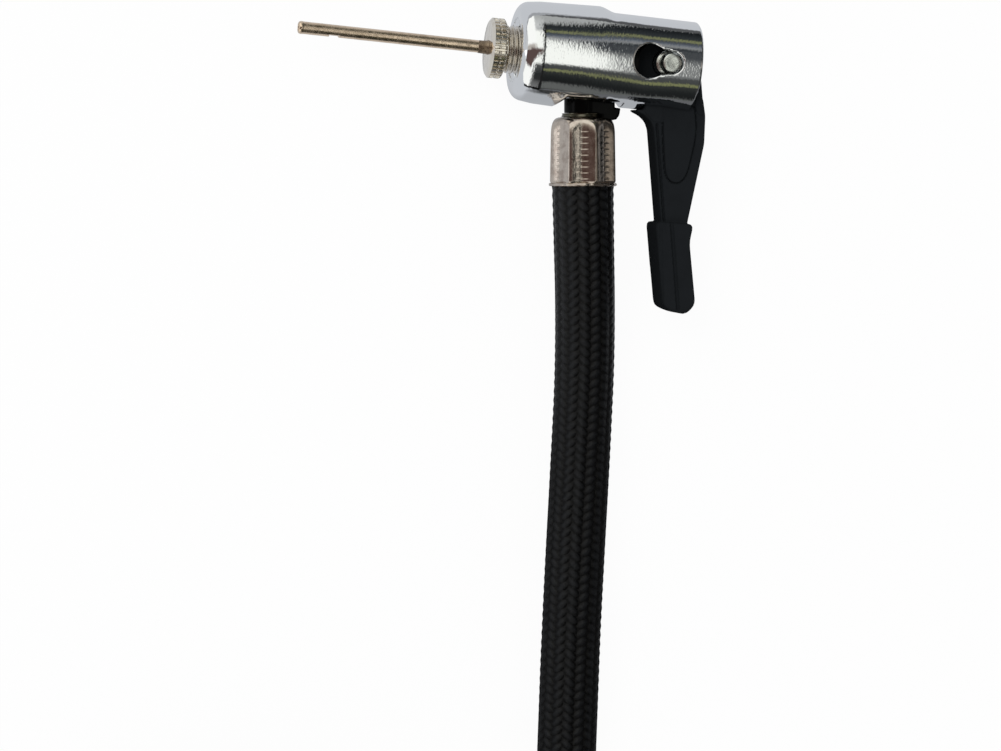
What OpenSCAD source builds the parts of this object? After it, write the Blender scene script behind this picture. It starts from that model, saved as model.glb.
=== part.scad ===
// Inflator hose end: clip-on lever chuck, ball needle adaptor and a 0.57 m braided air hose.
// It lies on its side. X runs along the chuck, with the mouth at -X. The hose and the locked
// lever point to -Y, and the hinge pin is upright. Millimetres.

/* [Chuck body] */
// Length of the chuck body from the mouth face to the tail
body_len = 29.6; // [28:0.2:34]
// Outer radius just behind the mouth face's fillet
nose_r = 7.9; // [7.6:0.1:8]
// Outer radius at the end of the crowned nose
crown_r = 8.1; // [8:0.05:8.3]
// Distance from the mouth face to the end of the crowned nose
crown_x = 3.5; // [2.6:0.1:4]
// Outer radius at the shoulder, where the chuck rests on the floor
shoulder_r = 8.3; // [8.3:0.1:9]
// Outer radius just behind the shoulder
barrel_r = 7.45; // [7.3:0.05:7.8]
// Outer radius at the tail
tail_r = 7.2; // [7.1:0.05:7.3]
// Distance from the mouth face to the start of the shoulder's slope
shoulder_x = 13.1; // [11.1:0.5:14.1]
// Length of the shoulder's slope
shoulder_len = 3.1; // [2:0.1:4]
// Fillet around the mouth face
nose_fillet = 1.6; // [0.8:0.1:2]
// Radius of the mouth hole
mouth_r = 4.45; // [4.2:0.05:4.8]
// Thickness of the wall that the mouth hole goes through
mouth_wall = 2.7; // [2.3:0.1:3.3]
// Radius of the bore that the slide core runs in
core_bore_r = 5.9; // [5.7:0.05:6]
// Radius of the lever chamber at the tail
tail_bore_r = 6.3; // [6.2:0.05:6.4]
// Width of the slot that the lever swings through
lever_slot_w = 6.4; // [6.3:0.1:7]
// Radius of the large hole of each keyhole
key_hole_r = 2.8; // [2.6:0.05:3.2]
// Distance from the large hole of a keyhole to the hinge pin
key_offset = 3.9; // [3.6:0.1:4.2]
// Width of the narrow end of each keyhole
key_slot_w = 3.3; // [3.2:0.05:3.6]
// Height of the flat under the hose port, from the chuck's axis
pocket_y = 6.85; // [6.6:0.05:7]

/* [Hinge pin and lever] */
// Distance from the hinge pin to the tail of the body
hinge_from_tail = 5; // [4.6:0.1:5.2]
// Radius of the hinge pin inside the chuck
pin_r = 2.08; // [1.9:0.02:2.2]
// Radius of the hinge pin's ends, which sit in the keyholes
pin_end_r = 1.52; // [1.4:0.02:1.56]
// Length of each thin end of the hinge pin
pin_end_len = 2.7; // [2.2:0.1:3]
// Running clearance between the lever and the hinge pin, on the radius
pin_clearance = 0.05; // [0.03:0.01:0.08]
// Swing of the lever from locked to open, in degrees
lever_swing = 80; // [70:1:80]
// Reach of the cam towards the mouth when the lever is locked
cam_reach = 5.05; // [4.8:0.05:5.2]
// Slide of the core over the lever's whole swing
core_travel = 1.3; // [1:0.1:1.5]
// Thickness of the lever's hub inside the chuck
hub_t = 4.6; // [4:0.1:4.8]
// Thickness of the lever's arm
arm_t = 5.6; // [5:0.1:5.7]
// Thickness of the arm across its raised tongues
tongue_t = 6; // [5.8:0.1:6.1]
// Thickness of the lever's grip
grip_t = 8; // [7:0.1:9]
// Distance from the hinge pin to the end of the grip
lever_len = 40.2; // [38:0.2:46]
// Length of the grip
grip_len = 14.7; // [12:0.1:16]

/* [Slide core and seal] */
// Radial clearance of the slide core in its bore
core_clearance = 0.1; // [0.06:0.02:0.2]
// Length of the rubber valve seal
seal_len = 4.6; // [4:0.1:5]
// Bore radius of the valve seal
seal_bore_r = 3.95; // [3.93:0.01:4.1]
// Thickness of the thrust washer behind the seal
washer_t = 0.6; // [0.4:0.1:0.8]
// Gap between the seal and the thrust washer
washer_gap = 0.05; // [0.03:0.01:0.1]
// Radius of the valve depressor pin
depressor_r = 0.8; // [0.6:0.05:0.85]
// Reach of the depressor pin ahead of the core
depressor_len = 3.6; // [3:0.1:4]
// Radius of the air way through the core
air_r = 1.5; // [1.2:0.1:1.7]

/* [Hose port] */
// Distance from the mouth face to the hose port
port_x = 11.4; // [11.1:0.1:12.1]
// Lean of the hose port towards the lever, in degrees
port_lean = 5; // [0:0.5:6]
// Radius of the nipple's stem
stem_r = 2.3; // [2.1:0.05:2.4]
// Radius of the nipple's cone where it leaves the cover
neck_r = 2.8; // [2.6:0.05:3]
// Radius of the nipple's cone where it meets the ferrule
collar_r = 3.6; // [3.3:0.05:3.8]
// Distance from the chuck's axis to the top of the nipple's cone
collar_s = 9.15; // [9.1:0.05:9.6]
// Length of the nipple's cone
collar_t = 0.95; // [0.6:0.05:1.1]
// Radius of the slot cover's round part
cover_r = 3.05; // [2.9:0.05:3.2]
// Reach of the slot cover behind the hose port
cover_reach = 6; // [5:0.1:6.3]
// Bore radius of the nipples
nipple_bore_r = 1.2; // [0.9:0.1:1.5]

/* [Hose] */
// Outside diameter of the hose
hose_d = 9.8; // [9.4:0.1:10]
// Bore radius of the hose
hose_bore_r = 2.95; // [2.8:0.05:3.1]
// Length of each crimp ferrule
ferrule_len = 10.8; // [10:0.1:14]
// Radius of a ferrule below its shoulder
ferrule_top_r = 5.45; // [5.3:0.05:5.5]
// Radius of a ferrule's open end
ferrule_end_r = 5.55; // [5.4:0.05:5.7]
// Inside radius of a ferrule
ferrule_bore_r = 4.55; // [4.4:0.05:4.6]
// Number of crimp flats around a ferrule
flats = 8; // [6:1:10]
// Distance from a ferrule's axis to its crimp flats, at the shoulder
flat_r = 5.2; // [5.1:0.02:5.3]
// Slope of the crimp flats, in degrees
flat_slope = 1.2; // [0.8:0.1:1.5]
// Radius of the stored coil at the middle of its turns
coil_r = 49; // [49:1:58]
// Angle through which the stored coil winds, in degrees
coil_turn = 480; // [450:15:495]

/* [Hose end fitting] */
// Radius of the male thread at the compressor end
thread_r = 4.86; // [4.8:0.01:5]
// Length of that thread
thread_len = 8; // [6:0.5:10]
// Width of the hexagon across its flats
hex_w = 11; // [10.5:0.5:12]
// Height of the hexagon
hex_h = 4; // [3:0.5:5]
// Thickness of the sealing washer
end_washer_t = 1.2; // [0.8:0.1:1.6]

/* [Ball needle adaptor] */
// Radius of the adaptor's knurled head
head_r = 4.83; // [4.6:0.01:5.2]
// Width of the knurled head
head_w = 2.5; // [2:0.1:3.5]
// Length of shank that shows between the head and the mouth face
shank_show = 1.8; // [1:0.1:3]
// Length of shank inside the chuck
shank_in = 6.7; // [6:0.1:6.9]
// Radius of the threaded shank, a car valve's thread
shank_r = 3.85; // [3.8:0.01:3.87]
// Pitch of the shank's thread
shank_pitch = 0.794; // [0.6:0.002:1]
// Number of teeth around the head's knurl
knurl_teeth = 30; // [20:1:36]
// Radius of the needle tube
needle_r = 1.025; // [0.8:0.005:1.2]
// Bore radius of the needle tube
needle_bore_r = 0.6; // [0.4:0.05:0.7]
// Radius of the needle tube's seat in the head
seat_r = 0.85; // [0.8:0.01:0.86]
// Length of the needle ahead of the head
needle_len = 30.8; // [25:0.1:40]
// Length of the braze at the needle's root
braze_len = 1.6; // [1:0.1:2]
// Distance from the needle's tip to its side hole
side_hole_x = 5.8; // [3:0.1:8]

/* [Hidden] */
$fn = 64;

// --- places worked out from the sizes ---
hose_r = hose_d / 2;
hinge_x = body_len - hinge_from_tail;
key_x = hinge_x - key_offset;
seal_x1 = mouth_wall + seal_len;
washer_x0 = seal_x1 + washer_gap;
core_x0 = washer_x0 + washer_t;
cam_gap = 0.15;
core_x1 = hinge_x - cam_reach - cam_gap;
tail_bore_x = core_x1 - 0.6;
head_x1 = -shank_show;
head_x0 = head_x1 - head_w;
tip_x = head_x0 - needle_len;
ferrule_s0 = collar_s + collar_t;
ferrule_s1 = ferrule_s0 + ferrule_len;
top_plate_t = 1;
eps = 0.01;

// The lever's outline, from the hinge pin, at rest. Its arm leans to the tail.
arm_front = 4.6;
flare_x = -4.3;
flare_y = -7.3;
waist_y = -9.8;
heel_x = 6;
heel_top_y = -1.5;
heel_low_x = 7.25;
heel_low_y = -7.7;
knee_x = 7.7;
knee_y = -12.6;
grip_y = -lever_len + grip_len;
arm_end_front = 1.6;
arm_end_back = 6;
grip_front = 0.4;
grip_back = 7;
grip_lean = 1.35;

// The origin is on the floor, under the middle of the chuck, lever and adaptor.
mid_x = (tip_x + hinge_x + grip_back + grip_lean) / 2;
mid_y = (shoulder_r - lever_len) / 2;
axis_h = shoulder_r;

// --- the hose's route, in the chuck's own X and Y and height above the floor ---
exit_s = ferrule_s1;
hose_exit = [port_x + exit_s * sin(port_lean), -exit_s * cos(port_lean), axis_h];
route_tail = [[13.85, -26.3, 8.1], [14.5, -31.5, 7.7], [15.35, -38, 7], [16.15, -45, 6.2],
    [16.75, -52, 5.6], [17.2, -60, 5.1], [17.6, -70, 4.9], [18, -82, 4.9],
    [18.5, -95, 4.9], [19.1, -107, 4.9], [19.7, -119, 4.9], [20.2, -131, 4.9],
    [20.45, -142, 4.9], [20.6, -153, 4.9], [20.6, -163, 4.9]];
coil_lead = 10;
coil_start = [20.6, -173];
layer_rise = hose_d + 0.5;
ferrule_lift = 0.7;
loop_rings = 24;
coil_sides = 6;
run_sides = 12;

function unit(v) = v / norm(v);
function smooth(a, lo, hi) =
    let (t = max(0, min(1, (a - lo) / (hi - lo)))) (1 - cos(180 * t)) / 2;

// The strap that holds the stacked turns of the coil lifts them off the floor.
strap_turn = 67.5;
strap_w = 9;
strap_t = 1.2;
strap_gap = 0.3;
function strap_lift(a) = (strap_t + strap_gap)
    * (smooth(a % 360, strap_turn - 45, strap_turn - 15)
        - smooth(a % 360, strap_turn + 15, strap_turn + 45));

// Height of the coil's centreline after it has wound through an angle.
function coil_z(a) = hose_r + layer_rise * smooth(a, 215, 318) + strap_lift(a)
    + ferrule_lift * smooth(a, coil_turn - 45, coil_turn);
// A point of the coil's centreline. It winds clockwise, seen from above.
function coil_at(a) = [coil_start.x - coil_r + coil_r * cos(a),
    coil_start.y - coil_r * sin(a), coil_z(a)];
function coil_heading(a) = [-sin(a), -cos(a), 0];

coil_steps = round(coil_turn / 360 * loop_rings);
coil_path = concat(
    [coil_at(0) - coil_lead * coil_heading(0)],
    [for (i = [0:coil_steps]) coil_at(i * coil_turn / coil_steps)],
    [coil_at(coil_turn) + coil_lead * coil_heading(coil_turn)]);
run_path = concat([hose_exit], route_tail);
far_end = coil_path[len(coil_path) - 1];
far_angle = 270 - coil_turn;

// Rings of points around a path, with a flat side down where the sides are six.
function along(path, i) =
    i == 0 ? unit(path[1] - path[0])
    : i == len(path) - 1 ? unit(path[i] - path[i - 1])
    : unit(unit(path[i + 1] - path[i]) + unit(path[i] - path[i - 1]));
function ring(path, i, r, n, t) =
    let (side = unit(cross(t, [0, 0, 1])), up = cross(side, t))
    [for (k = [0:n - 1]) path[i] + r * (cos(360 * k / n) * side + sin(360 * k / n) * up)];
function rings(path, r, n, t0, t1) = [for (i = [0:len(path) - 1])
    ring(path, i, r, n, i == 0 ? t0 : i == len(path) - 1 ? t1 : along(path, i))];
function flat(lists) = [for (list = lists) for (v = list) v];

// A tube of triangles along a path, with its two ends cut square to t0 and t1.
module swept_tube(path, r, n, t0, t1) {
    last = len(path) - 1;
    polyhedron(
        points = flat(rings(path, r, n, t0, t1)),
        faces = concat(
            [for (i = [0:last - 1]) for (k = [0:n - 1])
                [i * n + k, (i + 1) * n + k, (i + 1) * n + (k + 1) % n]],
            [for (i = [0:last - 1]) for (k = [0:n - 1])
                [i * n + k, (i + 1) * n + (k + 1) % n, i * n + (k + 1) % n]],
            [for (k = [1:n - 2]) [0, k, k + 1]],
            [for (k = [1:n - 2]) [last * n, last * n + k + 1, last * n + k]]));
}

// Radius of the coil's corners: its flat sides lie on the hose's own outline.
coil_corner_r = hose_r / cos(180 / coil_sides);
coil_skin = rings(coil_path, coil_corner_r, coil_sides, coil_heading(0), coil_heading(coil_turn));
echo(least_gap_in_coil = min([for (i = [0:len(coil_skin) - 1 - loop_rings / 2])
    for (j = [i + loop_rings / 2:len(coil_skin) - 1])
    for (p = coil_skin[i]) for (q = coil_skin[j]) norm(p - q)]));

// --- frames ---
// The object's own frame: children are drawn about the chuck's axis, from the mouth face.
module placed() {
    translate([-mid_x, -mid_y, axis_h]) children();
}
// The same, for what is drawn from the floor up.
module on_floor() {
    translate([-mid_x, -mid_y, 0]) children();
}
// Turns the Z axis into the chuck's X axis.
module along_chuck() {
    rotate([0, 90, 0]) children();
}
// The hose port: Z runs out along the nipple from the chuck's axis.
module along_port() {
    translate([port_x, 0, 0]) rotate([0, 0, port_lean]) rotate([90, 0, 0]) children();
}
// The hose's far end: Z runs out of the hose.
module along_far_end() {
    translate(far_end) rotate([0, 0, far_angle]) rotate([0, 90, 0]) children();
}
// A tube along Z.
module tube(r_out, r_in, z0, z1) {
    translate([0, 0, z0]) difference() {
        cylinder(r = r_out, h = z1 - z0);
        translate([0, 0, -1]) cylinder(r = r_in, h = z1 - z0 + 2);
    }
}

// --- chuck ---
module body_outline() {
    fillet_steps = 6;
    slope_steps = 8;
    polygon(concat(
        [[0, 0]],
        [for (i = [0:fillet_steps]) let (a = 90 * i / fillet_steps)
            [nose_r - nose_fillet + nose_fillet * sin(a), nose_fillet * (1 - cos(a))]],
        [[crown_r, crown_x]],
        [for (i = [0:slope_steps]) let (t = i / slope_steps)
            [shoulder_r - (shoulder_r - barrel_r) * (1 - cos(180 * t)) / 2,
             shoulder_x + shoulder_len * t]],
        [[tail_r, body_len - 0.2], [tail_r - 0.2, body_len], [0, body_len]]));
}

// The lip beside the lever slot, which dips below the barrel towards the tail.
module slot_lip() {
    lip_x0 = key_x + 1;
    lip_out = lever_slot_w / 2 + 1.2;
    intersection() {
        translate([0, 0, -lip_out]) linear_extrude(2 * lip_out)
            polygon([[lip_x0, -5], [lip_x0, -6.4], [body_len - 0.6, -tail_r + 0.1], [body_len, -5]]);
        translate([lip_x0, 0, 0]) along_chuck() tube(barrel_r + 0.4, tail_bore_r, 0, body_len - lip_x0);
    }
}

module keyhole_cut() {
    key_taper = 0.4;
    translate([key_x, 0, -10]) cylinder(r = key_hole_r, h = 20);
    translate([0, 0, -10]) linear_extrude(20)
        polygon([[key_x, -key_slot_w / 2 - key_taper], [hinge_x, -key_slot_w / 2],
            [hinge_x, key_slot_w / 2], [key_x, key_slot_w / 2 + key_taper]]);
    translate([hinge_x, 0, -10]) cylinder(r = key_slot_w / 2, h = 20);
}

// The slot that the nipple's stem slides in, and the flat around it.
module port_cut() {
    stem_x = port_x + pocket_y * tan(port_lean);
    slot_r = stem_r + 0.15;
    pocket_x0 = stem_x - cover_r - 0.3;
    pocket_x1 = stem_x + cover_reach + core_travel + 0.3;
    for (x = [stem_x - 0.15, stem_x + core_travel + 0.15])
        translate([x, -3, 0]) rotate([90, 0, 0]) cylinder(r = slot_r, h = 8);
    translate([stem_x - 0.15, -11, -slot_r]) cube([core_travel + 0.3, 8, 2 * slot_r]);
    front_slope = 1.4;
    translate([0, 0, -5]) linear_extrude(10) polygon([[pocket_x0, -pocket_y], [pocket_x1, -pocket_y],
        [pocket_x1, -pocket_y - 3], [pocket_x0 - front_slope, -pocket_y - 3],
        [pocket_x0 - front_slope, -pocket_y - front_slope]]);
}

module chuck_body() color([0.85, 0.86, 0.88]) placed() difference() {
    union() {
        along_chuck() rotate_extrude() body_outline();
        slot_lip();
    }
    along_chuck() {
        translate([0, 0, -1]) cylinder(r = mouth_r, h = mouth_wall + 2);
        translate([0, 0, -eps]) cylinder(r1 = mouth_r + 0.4, r2 = mouth_r, h = 0.4);
        translate([0, 0, mouth_wall]) cylinder(r = core_bore_r, h = body_len);
        translate([0, 0, tail_bore_x]) cylinder(r = tail_bore_r, h = body_len);
    }
    keyhole_cut();
    port_cut();
    translate([core_x1 - 0.5, -12, -lever_slot_w / 2]) cube([body_len, 12, lever_slot_w]);
}

module valve_seal() color([0.1, 0.1, 0.1]) placed() along_chuck() difference() {
    tube(core_bore_r - core_clearance, seal_bore_r, mouth_wall, seal_x1);
    translate([0, 0, mouth_wall - eps])
        cylinder(r1 = seal_bore_r + 0.4, r2 = seal_bore_r, h = 0.5);
}

module hinge_pin() color([0.75, 0.76, 0.78]) placed() translate([hinge_x, 0, 0]) {
    half = barrel_r - (barrel_r - tail_r) * (hinge_x - shoulder_x - shoulder_len)
        / (body_len - shoulder_x - shoulder_len) - 0.05;
    shank_half = half - pin_end_len;
    translate([0, 0, -shank_half]) cylinder(r = pin_r, h = 2 * shank_half);
    translate([0, 0, -half]) cylinder(r = pin_end_r, h = 2 * half);
}

// --- lever ---
// The hub inside the chuck: a spiral cam that the core follows, and the heel.
module hub_outline() {
    cam_steps = 10;
    cam_drop = core_travel / lever_swing;
    polygon(concat(
        [[-arm_front, -6.2], [-cam_reach, -1.2]],
        [for (i = [0:cam_steps]) let (a = lever_swing * i / cam_steps)
            (cam_reach - cam_drop * a) * [-cos(a), sin(a)]],
        [[2.2, 3.1], [heel_x - 1, 0.6], [heel_x, heel_top_y], [heel_x + 0.4, heel_top_y - 3],
         [heel_x + 0.4, -6.2]]));
}
module arm_outline() {
    polygon([[-3, flare_y + 1.5], [flare_x + 0.4, flare_y + 0.7], [flare_x, flare_y],
        [-2.7, -7.95], [-1.5, -8.75], [-1.05, waist_y], [arm_end_front, grip_y - 1],
        [arm_end_back, grip_y - 1], [knee_x, knee_y], [heel_low_x + 0.05, heel_low_y - 0.6],
        [heel_low_x, heel_low_y], [heel_x + 0.6, -4.9], [4, -4.9]]);
}
module tongue_outline() {
    end_x = 3.25;
    end_y = -17.1;
    end_r = 1.9;
    translate([end_x, end_y]) circle(r = end_r);
    polygon([[0.1, -6.5], [0.6, -12], [end_x - end_r, end_y], [end_x + end_r, end_y],
        [5.8, -12], [5.8, -9], [5.2, -6.5]]);
}
module grip_outline() {
    corner = 0.7;
    offset(r = corner) offset(delta = -corner)
        polygon([[grip_front, grip_y], [grip_back, grip_y], [grip_back - 0.6, grip_y - 3],
            [grip_back + grip_lean, -lever_len + 1.8], [grip_back - 0.4, -lever_len],
            [grip_front + 3.9, -lever_len + 0.6], [grip_front + 2.4, -lever_len + 1.3]]);
}
module slab(t) {
    translate([0, 0, -t / 2]) linear_extrude(t) children();
}
module lever() color([0.13, 0.14, 0.15]) placed() translate([hinge_x, 0, 0]) difference() {
    union() {
        slab(hub_t) hub_outline();
        slab(arm_t) arm_outline();
        slab(tongue_t) tongue_outline();
        slab(grip_t) grip_outline();
    }
    translate([0, 0, -5]) cylinder(r = pin_r + pin_clearance, h = 10);
}

// --- slide core ---
stem_s0 = 2.2;
stem_step_s = 5.2;
thread_in_r = stem_r - 0.4;
gasket_t = 0.5;
flange_r = 2.45;
flange_t = 0.65;

module slide_core() color([0.08, 0.08, 0.09]) placed() difference() {
    along_chuck() translate([0, 0, core_x0])
        cylinder(r = core_bore_r - core_clearance, h = core_x1 - core_x0);
    along_chuck() translate([0, 0, core_x0 - 1]) cylinder(r = air_r, h = port_x - core_x0 + 2.5);
    along_chuck() translate([0, 0, core_x0 - 1]) cylinder(r = flange_r + 0.05, h = 1 + flange_t);
    along_port() {
        cylinder(r = thread_in_r + 0.05, h = 8);
        translate([0, 0, stem_step_s - gasket_t]) cylinder(r = stem_r + 0.05, h = 8);
    }
}

module thrust_washer() color([0.8, 0.65, 0.35]) placed() along_chuck()
    tube(core_bore_r - 2 * core_clearance, 2.2, washer_x0, core_x0);

module valve_depressor() color([0.8, 0.65, 0.35]) placed() along_chuck() {
    translate([0, 0, core_x0 - depressor_len])
        cylinder(r = depressor_r, h = depressor_len + flange_t / 2);
    translate([0, 0, core_x0]) difference() {
        cylinder(r = flange_r, h = flange_t);
        for (a = [0:120:240]) rotate([0, 0, a])
            translate([1.65, 0, -1]) cylinder(r = 0.35, h = 3);
    }
}

module port_gasket() color([0.1, 0.1, 0.1]) placed() along_port()
    tube(stem_r, thread_in_r + 0.05, stem_step_s - gasket_t, stem_step_s);

// --- hose port ---
// The barbs that hold the hose, along Z from z0.
module barbs(z0, count, step) {
    for (i = [0:count - 1]) translate([0, 0, z0 + i * step])
        cylinder(r1 = hose_bore_r - 0.05, r2 = stem_r + 0.1, h = step);
}

barb_count = 3;
barb_step = 3;
barb_z = top_plate_t + 0.4;

module hose_nipple() color([0.75, 0.7, 0.62]) placed() along_port() difference() {
    union() {
        translate([0, 0, stem_s0]) cylinder(r = thread_in_r, h = 4);
        translate([0, 0, stem_step_s]) cylinder(r = stem_r, h = ferrule_s0 - stem_step_s + barb_z);
        translate([0, 0, collar_s]) cylinder(r1 = neck_r, r2 = collar_r, h = collar_t);
        barbs(ferrule_s0 + barb_z, barb_count, barb_step);
    }
    cylinder(r = nipple_bore_r, h = 40);
}

// The black cover that slides over the port slot with the nipple. Its tail reaches down past
// the nipple's cone to the ferrule's shoulder, clear of both.
module slot_cover() color([0.06, 0.06, 0.07]) placed() {
    cover_x = port_x + (pocket_y + 1) * tan(port_lean);
    cover_top = -pocket_y - 0.1;
    fit_gap = 0.1;
    post_low = -collar_s + 0.4;
    tail_low = -ferrule_s0 + 0.15;
    tail_x0 = cover_x + 2.6;
    tail_x1 = cover_x + cover_reach;
    corner = 1.1;
    difference() {
        union() {
            intersection() {
                along_port() cylinder(r = cover_r, h = collar_s - fit_gap);
                translate([0, -20, -5]) cube([40, 20 + cover_top, 10]);
            }
            translate([cover_x, post_low, -cover_r])
                cube([cover_reach - corner, cover_top - post_low, 2 * cover_r]);
            translate([0, 0, -cover_r]) linear_extrude(2 * cover_r) {
                translate([tail_x0, tail_low])
                    square([tail_x1 - corner - tail_x0, cover_top - tail_low]);
                translate([tail_x0, tail_low + corner])
                    square([tail_x1 - tail_x0, cover_top - tail_low - corner]);
                translate([tail_x1 - corner, tail_low + corner]) circle(r = corner);
            }
        }
        along_port() {
            cylinder(r = stem_r + 0.1, h = 20);
            translate([0, 0, collar_s - fit_gap])
                cylinder(r1 = neck_r + fit_gap, r2 = collar_r + 2 * fit_gap, h = collar_t + fit_gap);
            translate([0, 0, ferrule_s0 - fit_gap])
                cylinder(r1 = collar_r + 0.6, r2 = ferrule_top_r + 0.3, h = 1.3);
        }
    }
}

// --- crimp ferrule, along Z from its shoulder ---
module ferrule() {
    shoulder_steps = 6;
    shoulder_h = 1.9;
    lip_h = 0.4;
    flat_turn = 12;
    difference() {
        rotate_extrude() polygon(concat(
            [[stem_r + 0.15, 0]],
            [for (i = [0:shoulder_steps]) let (a = 90 * i / shoulder_steps)
                [collar_r + (ferrule_top_r - collar_r) * sin(a), shoulder_h * (1 - cos(a))]],
            [[ferrule_end_r - 0.05, ferrule_len - lip_h], [ferrule_end_r, ferrule_len - lip_h / 2],
             [ferrule_end_r - 0.1, ferrule_len], [ferrule_bore_r, ferrule_len],
             [ferrule_bore_r, top_plate_t], [stem_r + 0.15, top_plate_t]]));
        for (i = [0:flats - 1]) rotate([0, 0, 360 * i / flats + flat_turn])
            translate([flat_r, 0, shoulder_h / 2]) rotate([0, flat_slope, 0])
                translate([0, -3, 0]) cube([3, 6, ferrule_len - shoulder_h / 2 - 2 * lip_h]);
    }
}
module ferrule_metal() color([0.72, 0.67, 0.6]) children();
module hose_black() color([0.09, 0.09, 0.1]) children();

module hose_ferrule() ferrule_metal() placed() along_port() translate([0, 0, ferrule_s0]) ferrule();

module hose_end_in_ferrule() hose_black() placed() along_port()
    tube(ferrule_bore_r - 0.02, hose_bore_r, ferrule_s0 + top_plate_t, ferrule_s1);

module hose_run() hose_black() on_floor()
    swept_tube(run_path, hose_r, run_sides, [sin(port_lean), -cos(port_lean), 0], [0, -1, 0]);

module hose_coil() hose_black() on_floor()
    swept_tube(coil_path, coil_corner_r, coil_sides, coil_heading(0), coil_heading(coil_turn));

// The strap's section: a band around both turns of the coil.
module strap_outline(half_w, z0, z1, r) {
    translate([-half_w + r, z0]) square([2 * half_w - 2 * r, z1 - z0]);
    translate([-half_w, z0 + r]) square([2 * half_w, z1 - z0 - 2 * r]);
    for (x = [-half_w + r, half_w - r]) for (z = [z0 + r, z1 - r]) translate([x, z]) circle(r = r);
}
module coil_strap() color([0.12, 0.12, 0.13]) on_floor() {
    half_step = 180 / loop_rings;
    strap_at = (coil_at(strap_turn - half_step) + coil_at(strap_turn + half_step)) / 2;
    top_z = coil_z(360 + strap_turn) + hose_r + strap_gap;
    half_w = coil_corner_r + strap_gap;
    translate([strap_at.x, strap_at.y, 0]) rotate([0, 0, -strap_turn]) rotate([90, 0, 0])
        translate([0, 0, -strap_w / 2]) linear_extrude(strap_w) difference() {
            strap_outline(half_w + strap_t, 0, top_z + strap_t, 2.5);
            strap_outline(half_w, strap_t, top_z, 2.5 - strap_t);
        }
}

// --- far end of the hose ---
far_ferrule_z = 0;
far_hex_z = ferrule_len + 0.6;
far_thread_z = far_hex_z + hex_h;
thread_relief = 0.6;

module far_ferrule() ferrule_metal() on_floor() along_far_end()
    translate([0, 0, ferrule_len]) mirror([0, 0, 1]) ferrule();

module hose_end_in_far_ferrule() hose_black() on_floor() along_far_end()
    tube(ferrule_bore_r - 0.02, hose_bore_r, far_ferrule_z, ferrule_len - top_plate_t);

module far_nipple() color([0.75, 0.7, 0.62]) on_floor() along_far_end() difference() {
    union() {
        translate([0, 0, ferrule_len - top_plate_t - 0.4]) cylinder(r = stem_r, h = 4);
        translate([0, 0, ferrule_len - barb_z]) mirror([0, 0, 1]) barbs(0, barb_count, barb_step);
        translate([0, 0, ferrule_len]) cylinder(r = collar_r, h = 2);
        translate([0, 0, far_hex_z]) cylinder(r = hex_w / 2 / cos(30), h = hex_h, $fn = 6);
        translate([0, 0, far_thread_z]) cylinder(r = thread_r - thread_relief, h = thread_len);
        translate([0, 0, far_thread_z + end_washer_t])
            cylinder(r = thread_r, h = thread_len - end_washer_t - thread_relief);
    }
    translate([0, 0, -1]) cylinder(r = nipple_bore_r, h = 60);
}

module far_washer() color([0.1, 0.1, 0.1]) on_floor() along_far_end()
    tube(hex_w / 2 + 0.1, thread_r - thread_relief + 0.05, far_thread_z, far_thread_z + end_washer_t);

// --- ball needle adaptor ---
module shank_outline() {
    crest = shank_r;
    root = shank_r - 0.45;
    turns = floor((shank_show + shank_in - 1) / shank_pitch);
    polygon(concat(
        [[0, head_x1 - 0.2], [root, head_x1 - 0.2]],
        [for (i = [0:turns - 1]) for (p = [[root, 0], [crest, 0.42], [crest, 0.58], [root, 1]])
            [p[0], head_x1 + 0.5 + (i + p[1] * 0.98) * shank_pitch]],
        [[root, shank_in - 0.3], [root - 0.3, shank_in], [0, shank_in]]));
}
module adaptor_base() color([0.75, 0.72, 0.66]) placed() along_chuck() difference() {
    union() {
        rotate_extrude() shank_outline();
        translate([0, 0, head_x0]) cylinder(r = head_r, h = head_w);
    }
    for (i = [0:knurl_teeth - 1]) rotate([0, 0, 360 * i / knurl_teeth])
        translate([head_r + 0.12, 0, head_x0 - 1]) rotate([0, 0, 45])
            translate([-0.25, -0.25, 0]) cube([0.5, 0.5, head_w + 1.01]);
    translate([0, 0, head_x0 + head_w / 2 - 0.2]) tube(head_r + 1, head_r - 0.3, 0, 0.4);
    translate([0, 0, head_x0 + head_w / 2]) cylinder(r = 1.7, h = 20);
    translate([0, 0, head_x0 - 1]) cylinder(r = seat_r + 0.02, h = 20);
}

module needle_tube() color([0.6, 0.52, 0.43]) placed() difference() {
    along_chuck() translate([0, 0, tip_x]) difference() {
        union() {
            cylinder(r = needle_r, h = needle_len - braze_len);
            cylinder(r = seat_r, h = needle_len + head_w / 2 + 0.5);
        }
        translate([0, 0, -1]) cylinder(r = needle_bore_r, h = needle_len + 10);
    }
    translate([tip_x + side_hole_x, 0, 0]) rotate([90, 0, 0]) cylinder(r = 0.4, h = 5);
}

// The braze that seals the needle where it leaves the head.
module needle_braze() color([0.5, 0.42, 0.34]) placed() along_chuck()
    difference() {
        translate([0, 0, head_x0 - braze_len])
            cylinder(r1 = needle_r + 0.1, r2 = needle_r + 0.3, h = braze_len);
        translate([0, 0, head_x0 - 3]) cylinder(r = seat_r, h = 5);
    }

chuck_body();
valve_seal();
hinge_pin();
lever();
slide_core();
thrust_washer();
valve_depressor();
port_gasket();
hose_nipple();
slot_cover();
hose_ferrule();
hose_end_in_ferrule();
hose_run();
hose_coil();
coil_strap();
far_ferrule();
hose_end_in_far_ferrule();
far_nipple();
far_washer();
adaptor_base();
needle_tube();
needle_braze();
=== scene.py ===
"""Inflator hose end: chrome lever chuck, ball needle adaptor and a braided air hose.

Sizes are millimetres until a mesh is made. "Chuck frame" means X along the chuck from its
mouth face, Y away from the lever and Z up through the hinge pin; "model" is the object's frame.
"""

import math

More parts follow.
